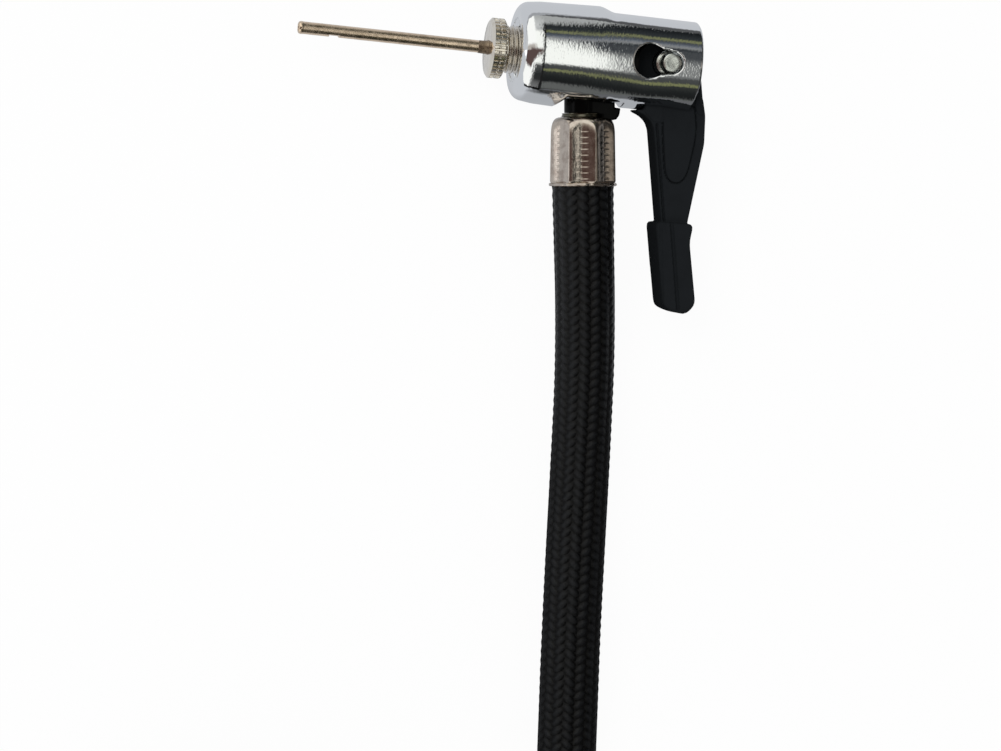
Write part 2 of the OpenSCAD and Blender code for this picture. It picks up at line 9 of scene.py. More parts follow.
import bpy
import numpy as np
from mathutils import Matrix, Vector


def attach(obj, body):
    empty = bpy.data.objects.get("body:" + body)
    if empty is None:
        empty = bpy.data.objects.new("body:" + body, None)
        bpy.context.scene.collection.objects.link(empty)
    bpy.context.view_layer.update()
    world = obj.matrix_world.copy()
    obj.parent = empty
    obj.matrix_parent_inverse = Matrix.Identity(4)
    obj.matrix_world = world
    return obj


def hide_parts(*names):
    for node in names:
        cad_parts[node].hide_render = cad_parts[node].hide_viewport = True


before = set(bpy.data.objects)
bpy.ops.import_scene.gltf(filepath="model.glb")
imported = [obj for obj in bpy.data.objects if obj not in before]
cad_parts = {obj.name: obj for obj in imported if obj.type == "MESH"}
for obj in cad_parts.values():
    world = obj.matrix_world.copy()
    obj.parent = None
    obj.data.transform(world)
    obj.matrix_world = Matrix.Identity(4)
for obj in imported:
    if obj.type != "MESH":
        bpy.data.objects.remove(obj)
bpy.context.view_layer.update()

MM = 0.001
CHUCK = np.array([2.175, 15.95, 8.3])      # the chuck frame's origin, 1.1 mm inside the mouth face
PORT_X = 10.3                              # where the hose's port meets the chuck's axis
HINGE_X = 23.5
LEAN = math.radians(5)                     # of the port, towards the tail
COARSE = 1.0        # wider cells while trying things


def unit(degrees):
    """Cosine and sine."""
    return math.cos(math.radians(degrees)), math.sin(math.radians(degrees))


# ---- meshes


def add_mesh(name, points, faces, body, mat, replaces=(), normals=None, sharp=None, uv=None):
    """A piece from points in mm and arrays of faces with equal corner counts."""
    mesh = bpy.data.meshes.new(name)
    points = np.asarray(points, dtype=np.float64) * MM
    faces = [np.asarray(f, dtype=np.int64) for f in faces if len(f)]
    mesh.vertices.add(len(points))
    mesh.vertices.foreach_set("co", points.ravel())
    corners = np.concatenate([f.ravel() for f in faces])
    sizes = np.concatenate([np.full(len(f), f.shape[1]) for f in faces])
    mesh.loops.add(len(corners))
    mesh.loops.foreach_set("vertex_index", corners.astype(np.int32))
    mesh.polygons.add(len(sizes))
    mesh.polygons.foreach_set("loop_start", (np.cumsum(sizes) - sizes).astype(np.int32))
    mesh.update(calc_edges=True)
    if uv is not None:
        layer = mesh.uv_layers.new(name="UVMap")
        layer.data.foreach_set("uv", np.asarray(uv, dtype=np.float32)[corners].ravel())
    mesh.polygons.foreach_set("use_smooth", np.ones(len(sizes), dtype=bool))
    if normals is not None:
        mesh.normals_split_custom_set_from_vertices([tuple(n) for n in normals])
    elif sharp is not None:
        mesh.set_sharp_from_angle(angle=math.radians(sharp))
    mesh.update()
    obj = bpy.data.objects.new(name, mesh)
    bpy.context.scene.collection.objects.link(obj)
    mesh.materials.append(mat)
    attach(obj, body)
    if replaces:
        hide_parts(*replaces)
    return obj


class Axes:
    """A frame in the model: an origin and three directions, for pieces drawn about an axis."""

    def __init__(self, origin, ex, ey, ez):
        self.origin = np.array(origin, dtype=float)
        self.m = np.array([ex, ey, ez], dtype=float)

    def put(self, p):
        return np.asarray(p) @ self.m + self.origin


ALONG_CHUCK = Axes(CHUCK, (0, 0, -1), (0, 1, 0), (1, 0, 0))
ALONG_PORT = Axes(CHUCK + (PORT_X, 0, 0), (math.cos(LEAN), math.sin(LEAN), 0), (0, 0, 1),
                  (math.sin(LEAN), -math.cos(LEAN), 0))
FAR_C, FAR_S = unit(-210)
FAR_END = np.array([-60.485, -194.485, 15.9])
ALONG_FAR = Axes(FAR_END, (0, 0, -1), (-FAR_S, FAR_C, 0), (FAR_C, FAR_S, 0))
ALONG_PIN = Axes(CHUCK + (HINGE_X, 0, 0), (1, 0, 0), (0, 1, 0), (0, 0, 1))


def grid_quads(rows, cols, close_rows=False, close_cols=False):
    """Quads over rows of points; either way may close on itself."""
    i = np.arange(rows if close_rows else rows - 1)[:, None]
    k = np.arange(cols if close_cols else cols - 1)[None, :]
    i2, k2 = (i + 1) % rows, (k + 1) % cols
    return np.stack([i * cols + k, i * cols + k2, i2 * cols + k2, i2 * cols + k], -1).reshape(-1, 4)


def turned_grid(profile, around, shape=None):
    """Points and quads of a list of (r, s) turned about Z, with shape(theta, s, r) on it."""
    theta = np.linspace(0, 2 * np.pi, around, endpoint=False)
    r, s = np.array(profile, dtype=float).T
    tt, ss = np.meshgrid(theta, s)
    rr = np.repeat(r[:, None], around, axis=1)
    if shape is not None:
        rr = shape(tt, ss, rr)
    points = np.stack([rr * np.cos(tt), rr * np.sin(tt), ss], -1).reshape(-1, 3)
    return points, grid_quads(len(s), around, close_cols=True)


def turned(name, axes, profile, around, body, mat, replaces=(), sharp=32, shape=None):
    """A piece turned about an axis, open where its profile is."""
    points, quads = turned_grid(profile, around, shape)
    return add_mesh(name, axes.put(points), [quads], body, mat, replaces, sharp=sharp)


# ---- solids from distance fields


def round_and(a, b, r):
    """What is in both a and b, with its edge rounded to radius r."""
    u = np.maximum(r + a, 0)
    v = np.maximum(r + b, 0)
    return np.minimum(-r, np.maximum(a, b)) + np.sqrt(u * u + v * v)


def round_or(a, b, r):
    """What is in a or b, with its inner corner filled to radius r."""
    u = np.maximum(r - a, 0)
    v = np.maximum(r - b, 0)
    return np.maximum(r, np.minimum(a, b)) - np.sqrt(u * u + v * v)


def outline(x, y, pts):
    """Signed distance to a polygon, negative inside."""
    pts = np.asarray(pts, dtype=float)
    best = np.full(x.shape, 1e9)
    sign = np.ones(x.shape)
    for i in range(len(pts)):
        a, b = pts[i], pts[i - 1]
        ex, ey = b - a
        wx, wy = x - a[0], y - a[1]
        t = np.clip((wx * ex + wy * ey) / (ex * ex + ey * ey), 0, 1)
        best = np.minimum(best, (wx - ex * t) ** 2 + (wy - ey * t) ** 2)
        above, below, left = y >= a[1], y < b[1], ex * wy > ey * wx
        flip = (above & below & left) | (~above & ~below & ~left)
        sign = np.where(flip, -sign, sign)
    return sign * np.sqrt(best)


def rounded(pts, radius, steps=4):
    """The polygon with each corner cut to a short curve."""
    pts = np.asarray(pts, dtype=float)
    out = []
    for i in range(len(pts)):
        p, a, b = pts[i], pts[i - 1], pts[(i + 1) % len(pts)]
        ra = min(radius, np.linalg.norm(a - p) * 0.45)
        rb = min(radius, np.linalg.norm(b - p) * 0.45)
        q0 = p + (a - p) / np.linalg.norm(a - p) * ra
        q1 = p + (b - p) / np.linalg.norm(b - p) * rb
        for t in np.linspace(0, 1, steps):
            out.append((1 - t) ** 2 * q0 + 2 * t * (1 - t) * p + t * t * q1)
    return out


def capsule(x, y, x0, x1, r):
    """Distance to a slot with round ends along X."""
    dx = x - np.clip(x, x0, x1)
    return np.sqrt(dx * dx + y * y) - r


def rise(value, start, over):
    """0 up to start, and from there to 1 over a distance."""
    return np.clip((value - start) / over, 0, 1)


def slope_of(field, p, h):
    """The field's slope at points p, from steps of h."""
    g = np.empty_like(p)
    for a in range(3):
        step = np.zeros(3)
        step[a] = h
        g[:, a] = (field(p + step) - field(p - step)) / (2 * h)
    return g


def cells_around(edges, axis):
    """The four cells about each grid edge along an axis, in turn about it."""
    others = [b for b in range(3) if b != axis]
    for back in ((1, 1), (0, 1), (0, 0), (1, 0)):
        cells = edges.copy()
        cells[:, others] -= back
        yield cells


def settled(field, v, cell):
    """The vertices moved onto the surface where the field is 0, and the normals there."""
    for _ in range(4):
        g = slope_of(field, v, 0.01)
        step = field(v)[:, None] * g / np.maximum((g * g).sum(1), 0.2)[:, None]
        length = np.linalg.norm(step, axis=1, keepdims=True)
        v = v - step * np.minimum(1, 0.5 * cell / np.maximum(length, 1e-9))
    g = slope_of(field, v, 0.03)
    return v, g / np.maximum(np.linalg.norm(g, axis=1, keepdims=True), 1e-9)


def solid_of(field, low, high, cell):
    """Vertices, quads and normals of the surface where field(points) is 0, in a box."""
    low, high = np.asarray(low, float), np.asarray(high, float)
    cell = cell * COARSE
    n = np.ceil((high - low) / cell).astype(int) + 1
    ax = [low[a] + cell * np.arange(n[a]) for a in range(3)]
    yy, zz = np.meshgrid(ax[1], ax[2], indexing="ij")
    d = np.empty(n)
    for i in range(n[0]):
        p = np.stack([np.full(yy.shape, ax[0][i]), yy, zz], -1).reshape(-1, 3)
        d[i] = field(p).reshape(yy.shape)
    inside = d < 0
    total = np.zeros((*(n - 1), 3))
    count = np.zeros(n - 1)
    crossings = []
    for a in range(3):
        here = [slice(None)] * 3
        there = [slice(None)] * 3
        here[a], there[a] = slice(0, -1), slice(1, None)
        cross = inside[tuple(here)] != inside[tuple(there)]
        idx = np.argwhere(cross)
        d0, d1 = d[tuple(here)][cross], d[tuple(there)][cross]
        pos = idx.astype(float)
        pos[:, a] += d0 / (d0 - d1)
        for c in cells_around(idx, a):
            ok = np.all((c >= 0) & (c < n - 1), axis=1)
            key = tuple(c[ok].T)
            np.add.at(total, key, pos[ok])
            np.add.at(count, key, 1)
        crossings.append((a, idx, d0 < 0))
    used = count > 0
    number = np.full(n - 1, -1)
    number[used] = np.arange(used.sum())
    v = total[used] / count[used][:, None] * cell + low
    quads = []
    for a, idx, out_ahead in crossings:
        q = np.stack([number[tuple(np.clip(c, 0, n - 2).T)] for c in cells_around(idx, a)], -1)
        turn = out_ahead if a != 1 else ~out_ahead
        quads.append(np.where(turn[:, None], q, q[:, ::-1]))
    v, normals = settled(field, v, cell)
    return v, np.concatenate(quads), normals


def carved(name, field, low, high, cell, shift, body, mat, replaces=(), shade=None):
    """A piece from a distance field drawn about the point shift of the model."""
    v, quads, normals = solid_of(field, low, high, cell)
    if shade is not None:
        normals = shade(v, normals)
    return add_mesh(name, v + shift, [quads], body, mat, replaces, normals=normals)


# ---- shaders


class Net:
    """Short ways to add and join shader nodes in one tree."""

    def __init__(self, tree):
        self.tree = tree

    def add(self, kind, values=None, **props):
        """A node with its properties, and its inputs by name or number."""
        node = self.tree.nodes.new(kind)
        for key, value in props.items():
            setattr(node, key, value)
        for key, value in (values or {}).items():
            self.set(node, key, value)
        return node

    def set(self, node, name, value):
        socket = node.inputs[name]
        if isinstance(value, bpy.types.NodeSocket):
            self.tree.links.new(value, socket)
        else:
            socket.default_value = value

    def math(self, op, a, b=None, clamp=False):
        values = {0: a} if b is None else {0: a, 1: b}
        return self.add("ShaderNodeMath", values, operation=op, use_clamp=clamp).outputs[0]

    def plus(self, a, b, clamp=False):
        return self.math("ADD", a, b, clamp)

    def minus(self, a, b, clamp=False):
        return self.math("SUBTRACT", a, b, clamp)

    def times(self, a, b):
        return self.math("MULTIPLY", a, b)

    def size(self, a):
        return self.math("ABSOLUTE", a)

    def parts(self, vector):
        return self.add("ShaderNodeSeparateXYZ", {0: vector}).outputs

    def noise(self, vector, scale, detail, rough):
        values = {"Vector": vector, "Scale": scale, "Detail": detail, "Roughness": rough}
        return self.add("ShaderNodeTexNoise", values).outputs["Fac"]

    def stretch(self, vector, scale):
        return self.add("ShaderNodeMapping", {"Vector": vector, "Scale": scale}).outputs[0]

    def ramp(self, factor, stops):
        node = self.add("ShaderNodeValToRGB")
        elements = node.color_ramp.elements
        while len(elements) < len(stops):
            elements.new(0.5)
        for element, (at, colour) in zip(elements, stops):
            element.position = at
            element.color = (*colour, 1)
        self.set(node, "Fac", factor)
        return node.outputs["Color"]

    def mix(self, factor, a, b):
        a, b = (c if isinstance(c, bpy.types.NodeSocket) else (*c, 1) for c in (a, b))
        return self.add("ShaderNodeMix", {0: factor, 6: a, 7: b}, data_type="RGBA").outputs[2]

    def span(self, value, lo, hi, to_lo=0.0, to_hi=1.0, smooth=True):
        values = dict(enumerate((value, lo, hi, to_lo, to_hi)))
        kind = "SMOOTHSTEP" if smooth else "LINEAR"
        return self.add("ShaderNodeMapRange", values, interpolation_type=kind).outputs[0]

    def bump(self, height, distance, strength=1.0, below=None):
        values = {"Height": height, "Distance": distance, "Strength": strength}
        if below is not None:
            values["Normal"] = below
        return self.add("ShaderNodeBump", values).outputs[0]


def surface(name, colour, metal=0.0, rough=0.5, specular=0.5):
    """A principled material, its net, its shader and the object's coordinates."""
    mat = bpy.data.materials.new(name)
    mat.use_nodes = True
    net = Net(mat.node_tree)
    bsdf = mat.node_tree.nodes["Principled BSDF"]
    net.set(bsdf, "Base Color", (*colour, 1))
    net.set(bsdf, "Metallic", metal)
    net.set(bsdf, "Roughness", rough)
    net.set(bsdf, "Specular IOR Level", specular)
    where = net.add("ShaderNodeTexCoord").outputs["Object"]
    return mat, net, bsdf, where


def make_chrome():
    """Plated chrome with an orange peel that is drawn out around the barrel."""
    mat, net, bsdf, where = surface("chrome_plate", (0.86, 0.87, 0.88), 1.0, 0.03)
    peel = net.noise(net.stretch(where, (3000, 1900, 1900)), 1.0, 2.0, 0.55)
    waves = net.bump(net.noise(where, 330.0, 1.0, 0.4), 2e-5, 0.8)
    net.set(bsdf, "Normal", net.bump(peel, 1e-5, 1.0, waves))
    return mat


def make_metal(name, colour, rough, dark, grain=1500.0, stretch=(1, 1, 1), depth=4e-6, spots=0.35):
    """A plated or bare metal with cloudy tarnish, fine scratches and a soft grain."""
    mat, net, bsdf, where = surface(name, colour, 1.0, rough)
    cloud = net.noise(where, grain * 0.35, 4.0, 0.6)
    fine = net.noise(net.stretch(where, stretch), grain, 3.0, 0.55)
    tone = net.times(net.span(cloud, 0.42, 0.68), spots)
    net.set(bsdf, "Base Color", net.mix(tone, colour, dark))
    net.set(bsdf, "Roughness", net.span(fine, 0.3, 0.75, rough * 0.8, rough * 1.5))
    net.set(bsdf, "Normal", net.bump(fine, depth, 0.8))
    return mat


def make_plastic(name, colour, rough, grain, depth, worn, specular=0.5):
    """A moulded plastic or rubber with a fine grain and cloudy worn patches."""
    mat, net, bsdf, where = surface(name, colour, 0.0, rough, specular)
    fine = net.noise(where, grain, 3.0, 0.6)
    cloud = net.noise(where, grain * 0.12, 3.0, 0.6)
    net.set(bsdf, "Base Color", net.mix(net.span(cloud, 0.4, 0.75), colour, worn))
    net.set(bsdf, "Roughness", net.span(fine, 0.3, 0.7, rough * 0.85, rough * 1.2))
    net.set(bsdf, "Normal", net.bump(fine, depth, 0.7))
    return mat


CHROME = make_chrome()
PIN_STEEL = make_metal("pin_face_steel", (0.84, 0.87, 0.82), 0.24, (0.46, 0.48, 0.46), 2600.0, depth=8e-6)
NYLON = make_plastic("lever_nylon_black", (0.0132, 0.0148, 0.0163), 0.7, 2600.0, 1.2e-5,
                     (0.0118, 0.0132, 0.0145), 0.0)
GLOSS_BLACK = make_plastic("gloss_black_plastic", (0.0015, 0.0015, 0.0015), 0.12, 900.0, 3e-6,
                           (0.0025, 0.0025, 0.0025), 0.05)
RUBBER = make_plastic("black_rubber_matte", (0.012, 0.012, 0.012), 0.6, 1800.0, 1e-5, (0.02, 0.02, 0.02))
BRASS = make_metal("turned_brass", (0.74, 0.53, 0.24), 0.25, (0.42, 0.27, 0.1), 1800.0)
NICKEL = make_metal("nickel_plate", (0.70, 0.66, 0.60), 0.17, (0.50, 0.44, 0.37), 1400.0,
                    depth=2e-6, spots=0.4)
# Painted light: the head's nickel is the shank's nickel painted lighter.
HEAD_NICKEL_PAINTED_LIGHT = make_metal("knurled_nickel_painted_light", (0.90, 0.84, 0.74), 0.16, (0.60, 0.52, 0.43), 1400.0,
                         depth=3e-6, spots=0.4)
FERRULE_NICKEL = make_metal("ferrule_plate", (0.60, 0.53, 0.46), 0.14, (0.30, 0.23, 0.19), 1900.0,
                            (1, 0.35, 1), 1.8e-5, 0.5)
# Painted shade: the nipple's nickel, painted dark for the shade and dark reflections between the cover and
# the ferrule.
NICKEL_PAINTED_SHADE = make_metal("nickel_painted_shade", (0.15, 0.14, 0.105), 0.15, (0.05, 0.045, 0.035))
NEEDLE = make_metal("needle_steel", (0.86, 0.69, 0.52), 0.21, (0.52, 0.40, 0.28), 1600.0,
                    depth=5e-6, spots=0.5)
BRAZE = make_metal("braze_metal", (0.36, 0.28, 0.20), 0.42, (0.10, 0.065, 0.045), 2400.0,
                   depth=4e-5, spots=0.8)


# ---- camera, world, floor
FOCAL_PX = 3600.0          # the lens, in pixels of the picture
PICTURE_PX = 1001.0        # the picture's width
SENSOR = 36.0


def make_camera():
    cam = bpy.data.cameras.new("camera")
    cam.sensor_width = SENSOR
    cam.lens = FOCAL_PX / PICTURE_PX * SENSOR
    cam.clip_start = 0.01
    cam.clip_end = 10.0
    obj = bpy.data.objects.new("camera", cam)
    right = Vector((0.9796, 0.0857, 0.1816)).normalized()
    back = right.cross(Vector((-0.0757, 0.9953, -0.0612))).normalized()
    place = Matrix((right, back.cross(right), back)).transposed().to_4x4()
    place.translation = Vector((-104.765, -9.60, 579.40)) * MM
    obj.matrix_world = place
    bpy.context.scene.collection.objects.link(obj)
    bpy.context.scene.camera = obj


HAZE = (0.62, 0.62, 0.66)
SOFTBOX = (1.05, 1.06, 1.0)
GREY = (0.12, 0.125, 0.12)
YELLOW = (0.20, 0.21, 0.10)
# What the metal sees behind the chuck's barrel, by the angle from straight up towards +Y, in degrees.
STUDIO = [
    (-180, HAZE), (-100, (0.13, 0.13, 0.12)), (-90, GREY), (-88, (0.04, 0.04, 0.04)), (-85, GREY),
    (-71, GREY), (-66, (0.012, 0.013, 0.013)), (-54, (0.016, 0.018, 0.018)), (-42, (0.034, 0.037, 0.035)),
    (-40.5, YELLOW), (-37, YELLOW), (-35, (0.055, 0.058, 0.057)), (-26, (0.075, 0.078, 0.077)),
    (-22, SOFTBOX), (27, SOFTBOX), (34, (0.26, 0.27, 0.28)), (39, (0.10, 0.115, 0.14)),
    (44.5, (0.05, 0.055, 0.06)), (46, (0.20, 0.21, 0.11)), (49.5, (0.19, 0.20, 0.10)),
    (51.5, (0.035, 0.04, 0.042)), (66, (0.012, 0.014, 0.016)), (80, (0.014, 0.015, 0.017)), (180, HAZE)]
# The same for the short cone between the mouth and its first crease.
STUDIO_MOUTH = [
    (-180, HAZE), (-110, (0.36, 0.36, 0.37)), (-98, (0.08, 0.08, 0.08)), (-90, (0.20, 0.20, 0.20)),
    (-72, (0.12, 0.12, 0.12)), (-64, (0.03, 0.03, 0.03)), (-50, (0.024, 0.026, 0.026)),
    (-30, (0.09, 0.09, 0.09)), (-24, SOFTBOX), (44, SOFTBOX), (52, (0.50, 0.51, 0.50)),
    (64, (0.60, 0.61, 0.60)), (88, (0.44, 0.45, 0.44)), (98, (0.62, 0.63, 0.65)), (180, HAZE)]


def around(net, angle, stops):
    """A colour by an angle in degrees, -180 to 180."""
    return net.ramp(net.span(angle, -180, 180, smooth=False), [((a + 180) / 360, c) for a, c in stops])


def barrel_bands(net, tilt, lean):
    """What the barrel mirrors. The bands spread and dim towards its tail."""
    spread = net.math("DIVIDE", tilt, net.span(lean, 9.5, 16.5, 1.0, 1.3))
    bands = around(net, spread, STUDIO)
    # The overhead softbox is cut off on a slant, and fades towards the tail.
    edge = net.plus(net.span(lean, 9.4, 11.4, 34, 16, False), net.span(lean, 11.4, 12.8, 0, -10, False))
    beyond = net.times(net.span(net.minus(spread, edge), -11, 9), net.span(spread, 29, 36, 1, 0))
    slate = net.mix(net.span(lean, 10.8, 12.2), (0.22, 0.225, 0.23), (0.04, 0.045, 0.05))
    bands = net.mix(beyond, bands, slate)
    faded = net.times(net.span(lean, 12.5, 15.6, 0, 0.86), net.span(net.size(spread), 27, 24))
    bands = net.mix(faded, bands, (0.07, 0.075, 0.08))
    wedge = net.minus(tilt, net.span(lean, 9.5, 16, 65, 101, False))
    return net.mix(net.span(wedge, -4, 5), bands, (0.40, 0.41, 0.40))


def side_screen(net, tilt, lean):
    """The bright screen ahead of the mouth, with a lamp at its far end."""
    side = net.mix(net.span(net.size(tilt), 12, 22), (0.50, 0.46, 0.42), (1.08, 1.08, 1.04))
    side = net.mix(net.span(lean, -62, -55, 1, 0), side, (0.60, 0.61, 0.62))
    lamp = net.times(net.span(lean, -70, -62, 1, 0), net.span(tilt, -34, -26))
    return net.mix(net.times(lamp, net.span(tilt, -4, 4, 1, 0)), side, (1.6, 1.6, 1.65))


def photographer(net, tilt, lean):
    """1 where whoever holds the camera is mirrored, to the left of it."""
    limit = net.minus(lean, net.span(tilt, -38, 0, -12, 2, False))
    start = net.minus(lean, net.span(tilt, -2, 4, -66, -38))
    patch = net.times(net.span(start, 0, 8), net.span(limit, -4, 0, 1, 0))
    return net.times(patch, net.times(net.span(tilt, -44, -34), net.span(tilt, 2, 12, 1, 0)))


def rear_room(net, tilt, lean):
    """The room towards the tail, dark but for one pale line."""
    rear = net.mix(net.span(lean, 50, 58), (0.28, 0.25, 0.22), (0.45, 0.42, 0.38))
    rear = net.mix(net.span(lean, 26, 31), (0.06, 0.055, 0.05), rear)
    off_line = net.size(net.minus(tilt, 5.0))
    return net.mix(net.span(off_line, 5, 14), rear, (0.04, 0.04, 0.04))


def make_world():
    """The room that the metal mirrors, by the angles around the chuck and along it."""
    world = bpy.data.worlds.new("studio")
    bpy.context.scene.world = world
    world.use_nodes = True
    net = Net(world.node_tree)
    world.node_tree.nodes.clear()
    x, y, z = net.parts(net.add("ShaderNodeTexCoord").outputs["Generated"])
    tilt = net.math("DEGREES", net.math("ARCTAN2", y, z))
    lean = net.math("DEGREES", net.math("ARCSINE", x))
    # Ahead of the barrel's own angles come the mouth's cone, a dark gap and the screen.
    bands = barrel_bands(net, tilt, lean)
    seen = net.mix(net.span(lean, 0.8, 2.0), around(net, tilt, STUDIO_MOUTH), bands)
    gap = net.times(net.span(lean, -0.2, 0.8), net.span(lean, 6.0, 7.5, 1, 0))
    gap = net.times(gap, net.span(tilt, 62, 74, 1, 0))
    seen = net.mix(gap, seen, (0.015, 0.015, 0.015))
    seen = net.mix(net.span(lean, -9, -4.5, 1, 0), seen, side_screen(net, tilt, lean))
    seen = net.mix(photographer(net, tilt, lean), seen, (0.11, 0.072, 0.066))
    seen = net.mix(net.span(lean, 19.5, 23), seen, rear_room(net, tilt, lean))
    rays = net.add("ShaderNodeLightPath").outputs
    seen_or_plain = net.mix(rays["Is Diffuse Ray"], seen, (0.62, 0.62, 0.63))
    back = net.add("ShaderNodeBackground")
    net.set(back, "Color", net.mix(rays["Is Camera Ray"], seen_or_plain, (1, 1, 1)))
    net.set(net.add("ShaderNodeOutputWorld"), 0, back.outputs[0])


FLOOR_HALF = 3.0           # metres


def make_floor():
    """A pale floor. The camera sees it white with a soft shadow; in reflections it glows with painted light
    and painted shade.
    """
    corners = [(-1, -1), (1, -1), (1, 1), (-1, 1)]
    mesh = bpy.data.meshes.new("floor")
    mesh.from_pydata([(x * FLOOR_HALF, y * FLOOR_HALF, 0) for x, y in corners], [], [(0, 1, 2, 3)])
    floor = bpy.data.objects.new("floor", mesh)
    bpy.context.scene.collection.objects.link(floor)
    mat = bpy.data.materials.new("pale_floor")
    mat.use_nodes = True
    net = Net(mat.node_tree)
    mat.node_tree.nodes.clear()
    plain = net.add("ShaderNodeBsdfDiffuse")
    net.set(plain, "Color", (0.92, 0.92, 0.92, 1))
    x, y, _ = net.parts(net.add("ShaderNodeTexCoord").outputs["Object"])
    # Painted reflection: in reflections the floor glows pale near the chuck and to its left, and has painted
    # shade around the lever.
    pale = net.span(y, 0.085, 0.115, 0.63, 0.37)
    below = net.times(net.span(x, -0.012, 0.008), net.span(y, -0.012, -0.055))
    beside = net.times(net.span(x, 0.034, 0.050), net.span(y, 0.045, 0.020))
    behind = net.times(net.span(x, 0.026, 0.038), net.span(y, 0.075, 0.095))
    under = net.times(net.span(x, -0.004, 0.004), net.span(y, 0.016, 0.006, 0, 0.3))
    # The patches below, beside, behind and under are painted shade in the floor's reflection.
    dark = below
    for patch in (beside, behind, under):
        dark = net.math("MAXIMUM", dark, patch)
    near = net.times(pale, net.span(dark, 0, 1, 1, 0.16, False))
    rays = net.add("ShaderNodeLightPath").outputs
    glow = net.add("ShaderNodeEmission")
    lit = net.times(net.minus(1.0, rays["Is Camera Ray"]), near)
    net.set(glow, "Strength", net.plus(lit, rays["Is Camera Ray"]))
    net.set(glow, "Color", net.mix(rays["Is Camera Ray"], (0.92, 0.95, 1.0), (1, 1, 1)))
    looks = net.plus(rays["Is Camera Ray"], rays["Is Glossy Ray"], clamp=True)
    mixed = net.add("ShaderNodeMixShader")
    net.set(mixed, 0, net.times(looks, 0.95))
    net.set(mixed, 1, plain.outputs[0])
    net.set(mixed, 2, glow.outputs[0])
    net.set(net.add("ShaderNodeOutputMaterial"), 0, mixed.outputs[0])
    mesh.materials.append(mat)


def make_lamp(name, place, side, power):
    """A square lamp, aimed at the model's origin and unseen in reflections."""
    lamp = bpy.data.lights.new(name, "AREA")
    lamp.shape = "RECTANGLE"
    lamp.size = lamp.size_y = side
    lamp.energy = power
    obj = bpy.data.objects.new(name, lamp)
    bpy.context.scene.collection.objects.link(obj)
    obj.location = place
    obj.rotation_euler = (-Vector(place)).to_track_quat("-Z", "Y").to_euler()
    obj.visible_glossy = False


make_camera()
make_world()
make_floor()
make_lamp("key_softbox", (-0.45, 0.30, 0.80), 0.5, 3.2)
make_lamp("fill_softbox", (0.60, -0.35, 0.70), 0.6, 0.3)
bpy.context.scene.view_settings.view_transform = "Standard"


# ---- hose
HOSE_R = 4.9
HOSE_AROUND = 64           # faces
BRAID_COLUMNS = 16
BRAID_DEPTH = 0.2
BRAID_PITCH = 1.47
YARN_LEAN = 0.6            # how far a yarn leans across its column, in pitches
YARN_ROUND = 1.5           # the power that rounds a yarn's diamond
YARN_REACH = 1.25
UV_MM = 100.0              # mm of hose in one unit of its UV map
COIL_R = 49.0
COIL_TURN = 480
COIL_START = (19.5, -173.0)
EXIT = (12.12, -20.82, 8.3)
RUN = [(12.75, -26.3, 8.1), (13.4, -31.5, 7.7), (14.25, -38, 7), (15.05, -45, 6.2), (15.65, -52, 5.6),
       (16.1, -60, 5.1), (16.5, -70, 4.9), (16.9, -82, 4.9), (17.4, -95, 4.9), (18, -107, 4.9),
       (18.6, -119, 4.9), (19.1, -131, 4.9), (19.35, -142, 4.9), (19.5, -153, 4.9), (19.5, -163, 4.9)]


def eased(a, lo, hi):
    return (1 - math.cos(math.pi * max(0.0, min(1.0, (a - lo) / (hi - lo))))) / 2


def coil_height(a):
    lift = 1.5 * (eased(a % 360, 22.5, 52.5) - eased(a % 360, 82.5, 112.5))
    return HOSE_R + 10.3 * eased(a, 215, 318) + lift + 0.7 * eased(a, COIL_TURN - 45, COIL_TURN)


def coil_point(a):
    c, s = unit(a)
    return np.array([COIL_START[0] - COIL_R + COIL_R * c, COIL_START[1] - COIL_R * s, coil_height(a)])


def coil_heading(a):
    c, s = unit(a)
    return np.array([-s, -c, 0])


def hose_route():
    """The hose's centreline, in the model's frame."""
    pts = [np.array(EXIT)] + [np.array(p) for p in RUN]
    pts += [coil_point(a) for a in np.arange(0, COIL_TURN + 1, 15)]
    pts.append(coil_point(COIL_TURN) + 10 * coil_heading(COIL_TURN))
    return np.array(pts) + (CHUCK[0], CHUCK[1], 0)


def blend(a, b, ka, kb, t):
    """a at ka to b at kb, on a straight line, at each t."""
    return (kb - t) / (kb - ka) * a + (t - ka) / (kb - ka) * b


def smooth_line(pts, step):
    """Points a step apart on a smooth curve through pts, and the curve's directions there."""
    leaving = np.array([math.sin(LEAN), -math.cos(LEAN), 0])
    start = pts[1] - 2 * leaving * np.linalg.norm(pts[1] - pts[0])
    ctrl = np.vstack([start, pts, pts[-1] + (pts[-1] - pts[-2])])
    fine = []
    for i in range(1, len(ctrl) - 2):
        p0, p1, p2, p3 = ctrl[i - 1:i + 3]
        k = [0.0]
        for a, b in ((p0, p1), (p1, p2), (p2, p3)):
            k.append(k[-1] + np.linalg.norm(b - a) ** 0.5)
        t = np.linspace(k[1], k[2], 40, endpoint=False)[:, None]
        a1 = blend(p0, p1, k[0], k[1], t)
        a2 = blend(p1, p2, k[1], k[2], t)
        a3 = blend(p2, p3, k[2], k[3], t)
        b1 = blend(a1, a2, k[0], k[2], t)
        b2 = blend(a2, a3, k[1], k[3], t)
        fine.append(blend(b1, b2, k[1], k[2], t))
    fine = np.vstack(fine + [pts[-1][None]])
    run = np.concatenate([[0], np.cumsum(np.linalg.norm(np.diff(fine, axis=0), axis=1))])
    count = max(2, int(round(run[-1] / step)))
    s = np.linspace(0, run[-1], count + 1)
    line = np.stack([np.interp(s, run, fine[:, a]) for a in range(3)], -1)
    heading = np.gradient(line, axis=0)
    heading[0] = leaving
    heading /= np.linalg.norm(heading, axis=1, keepdims=True)
    return line, heading, s


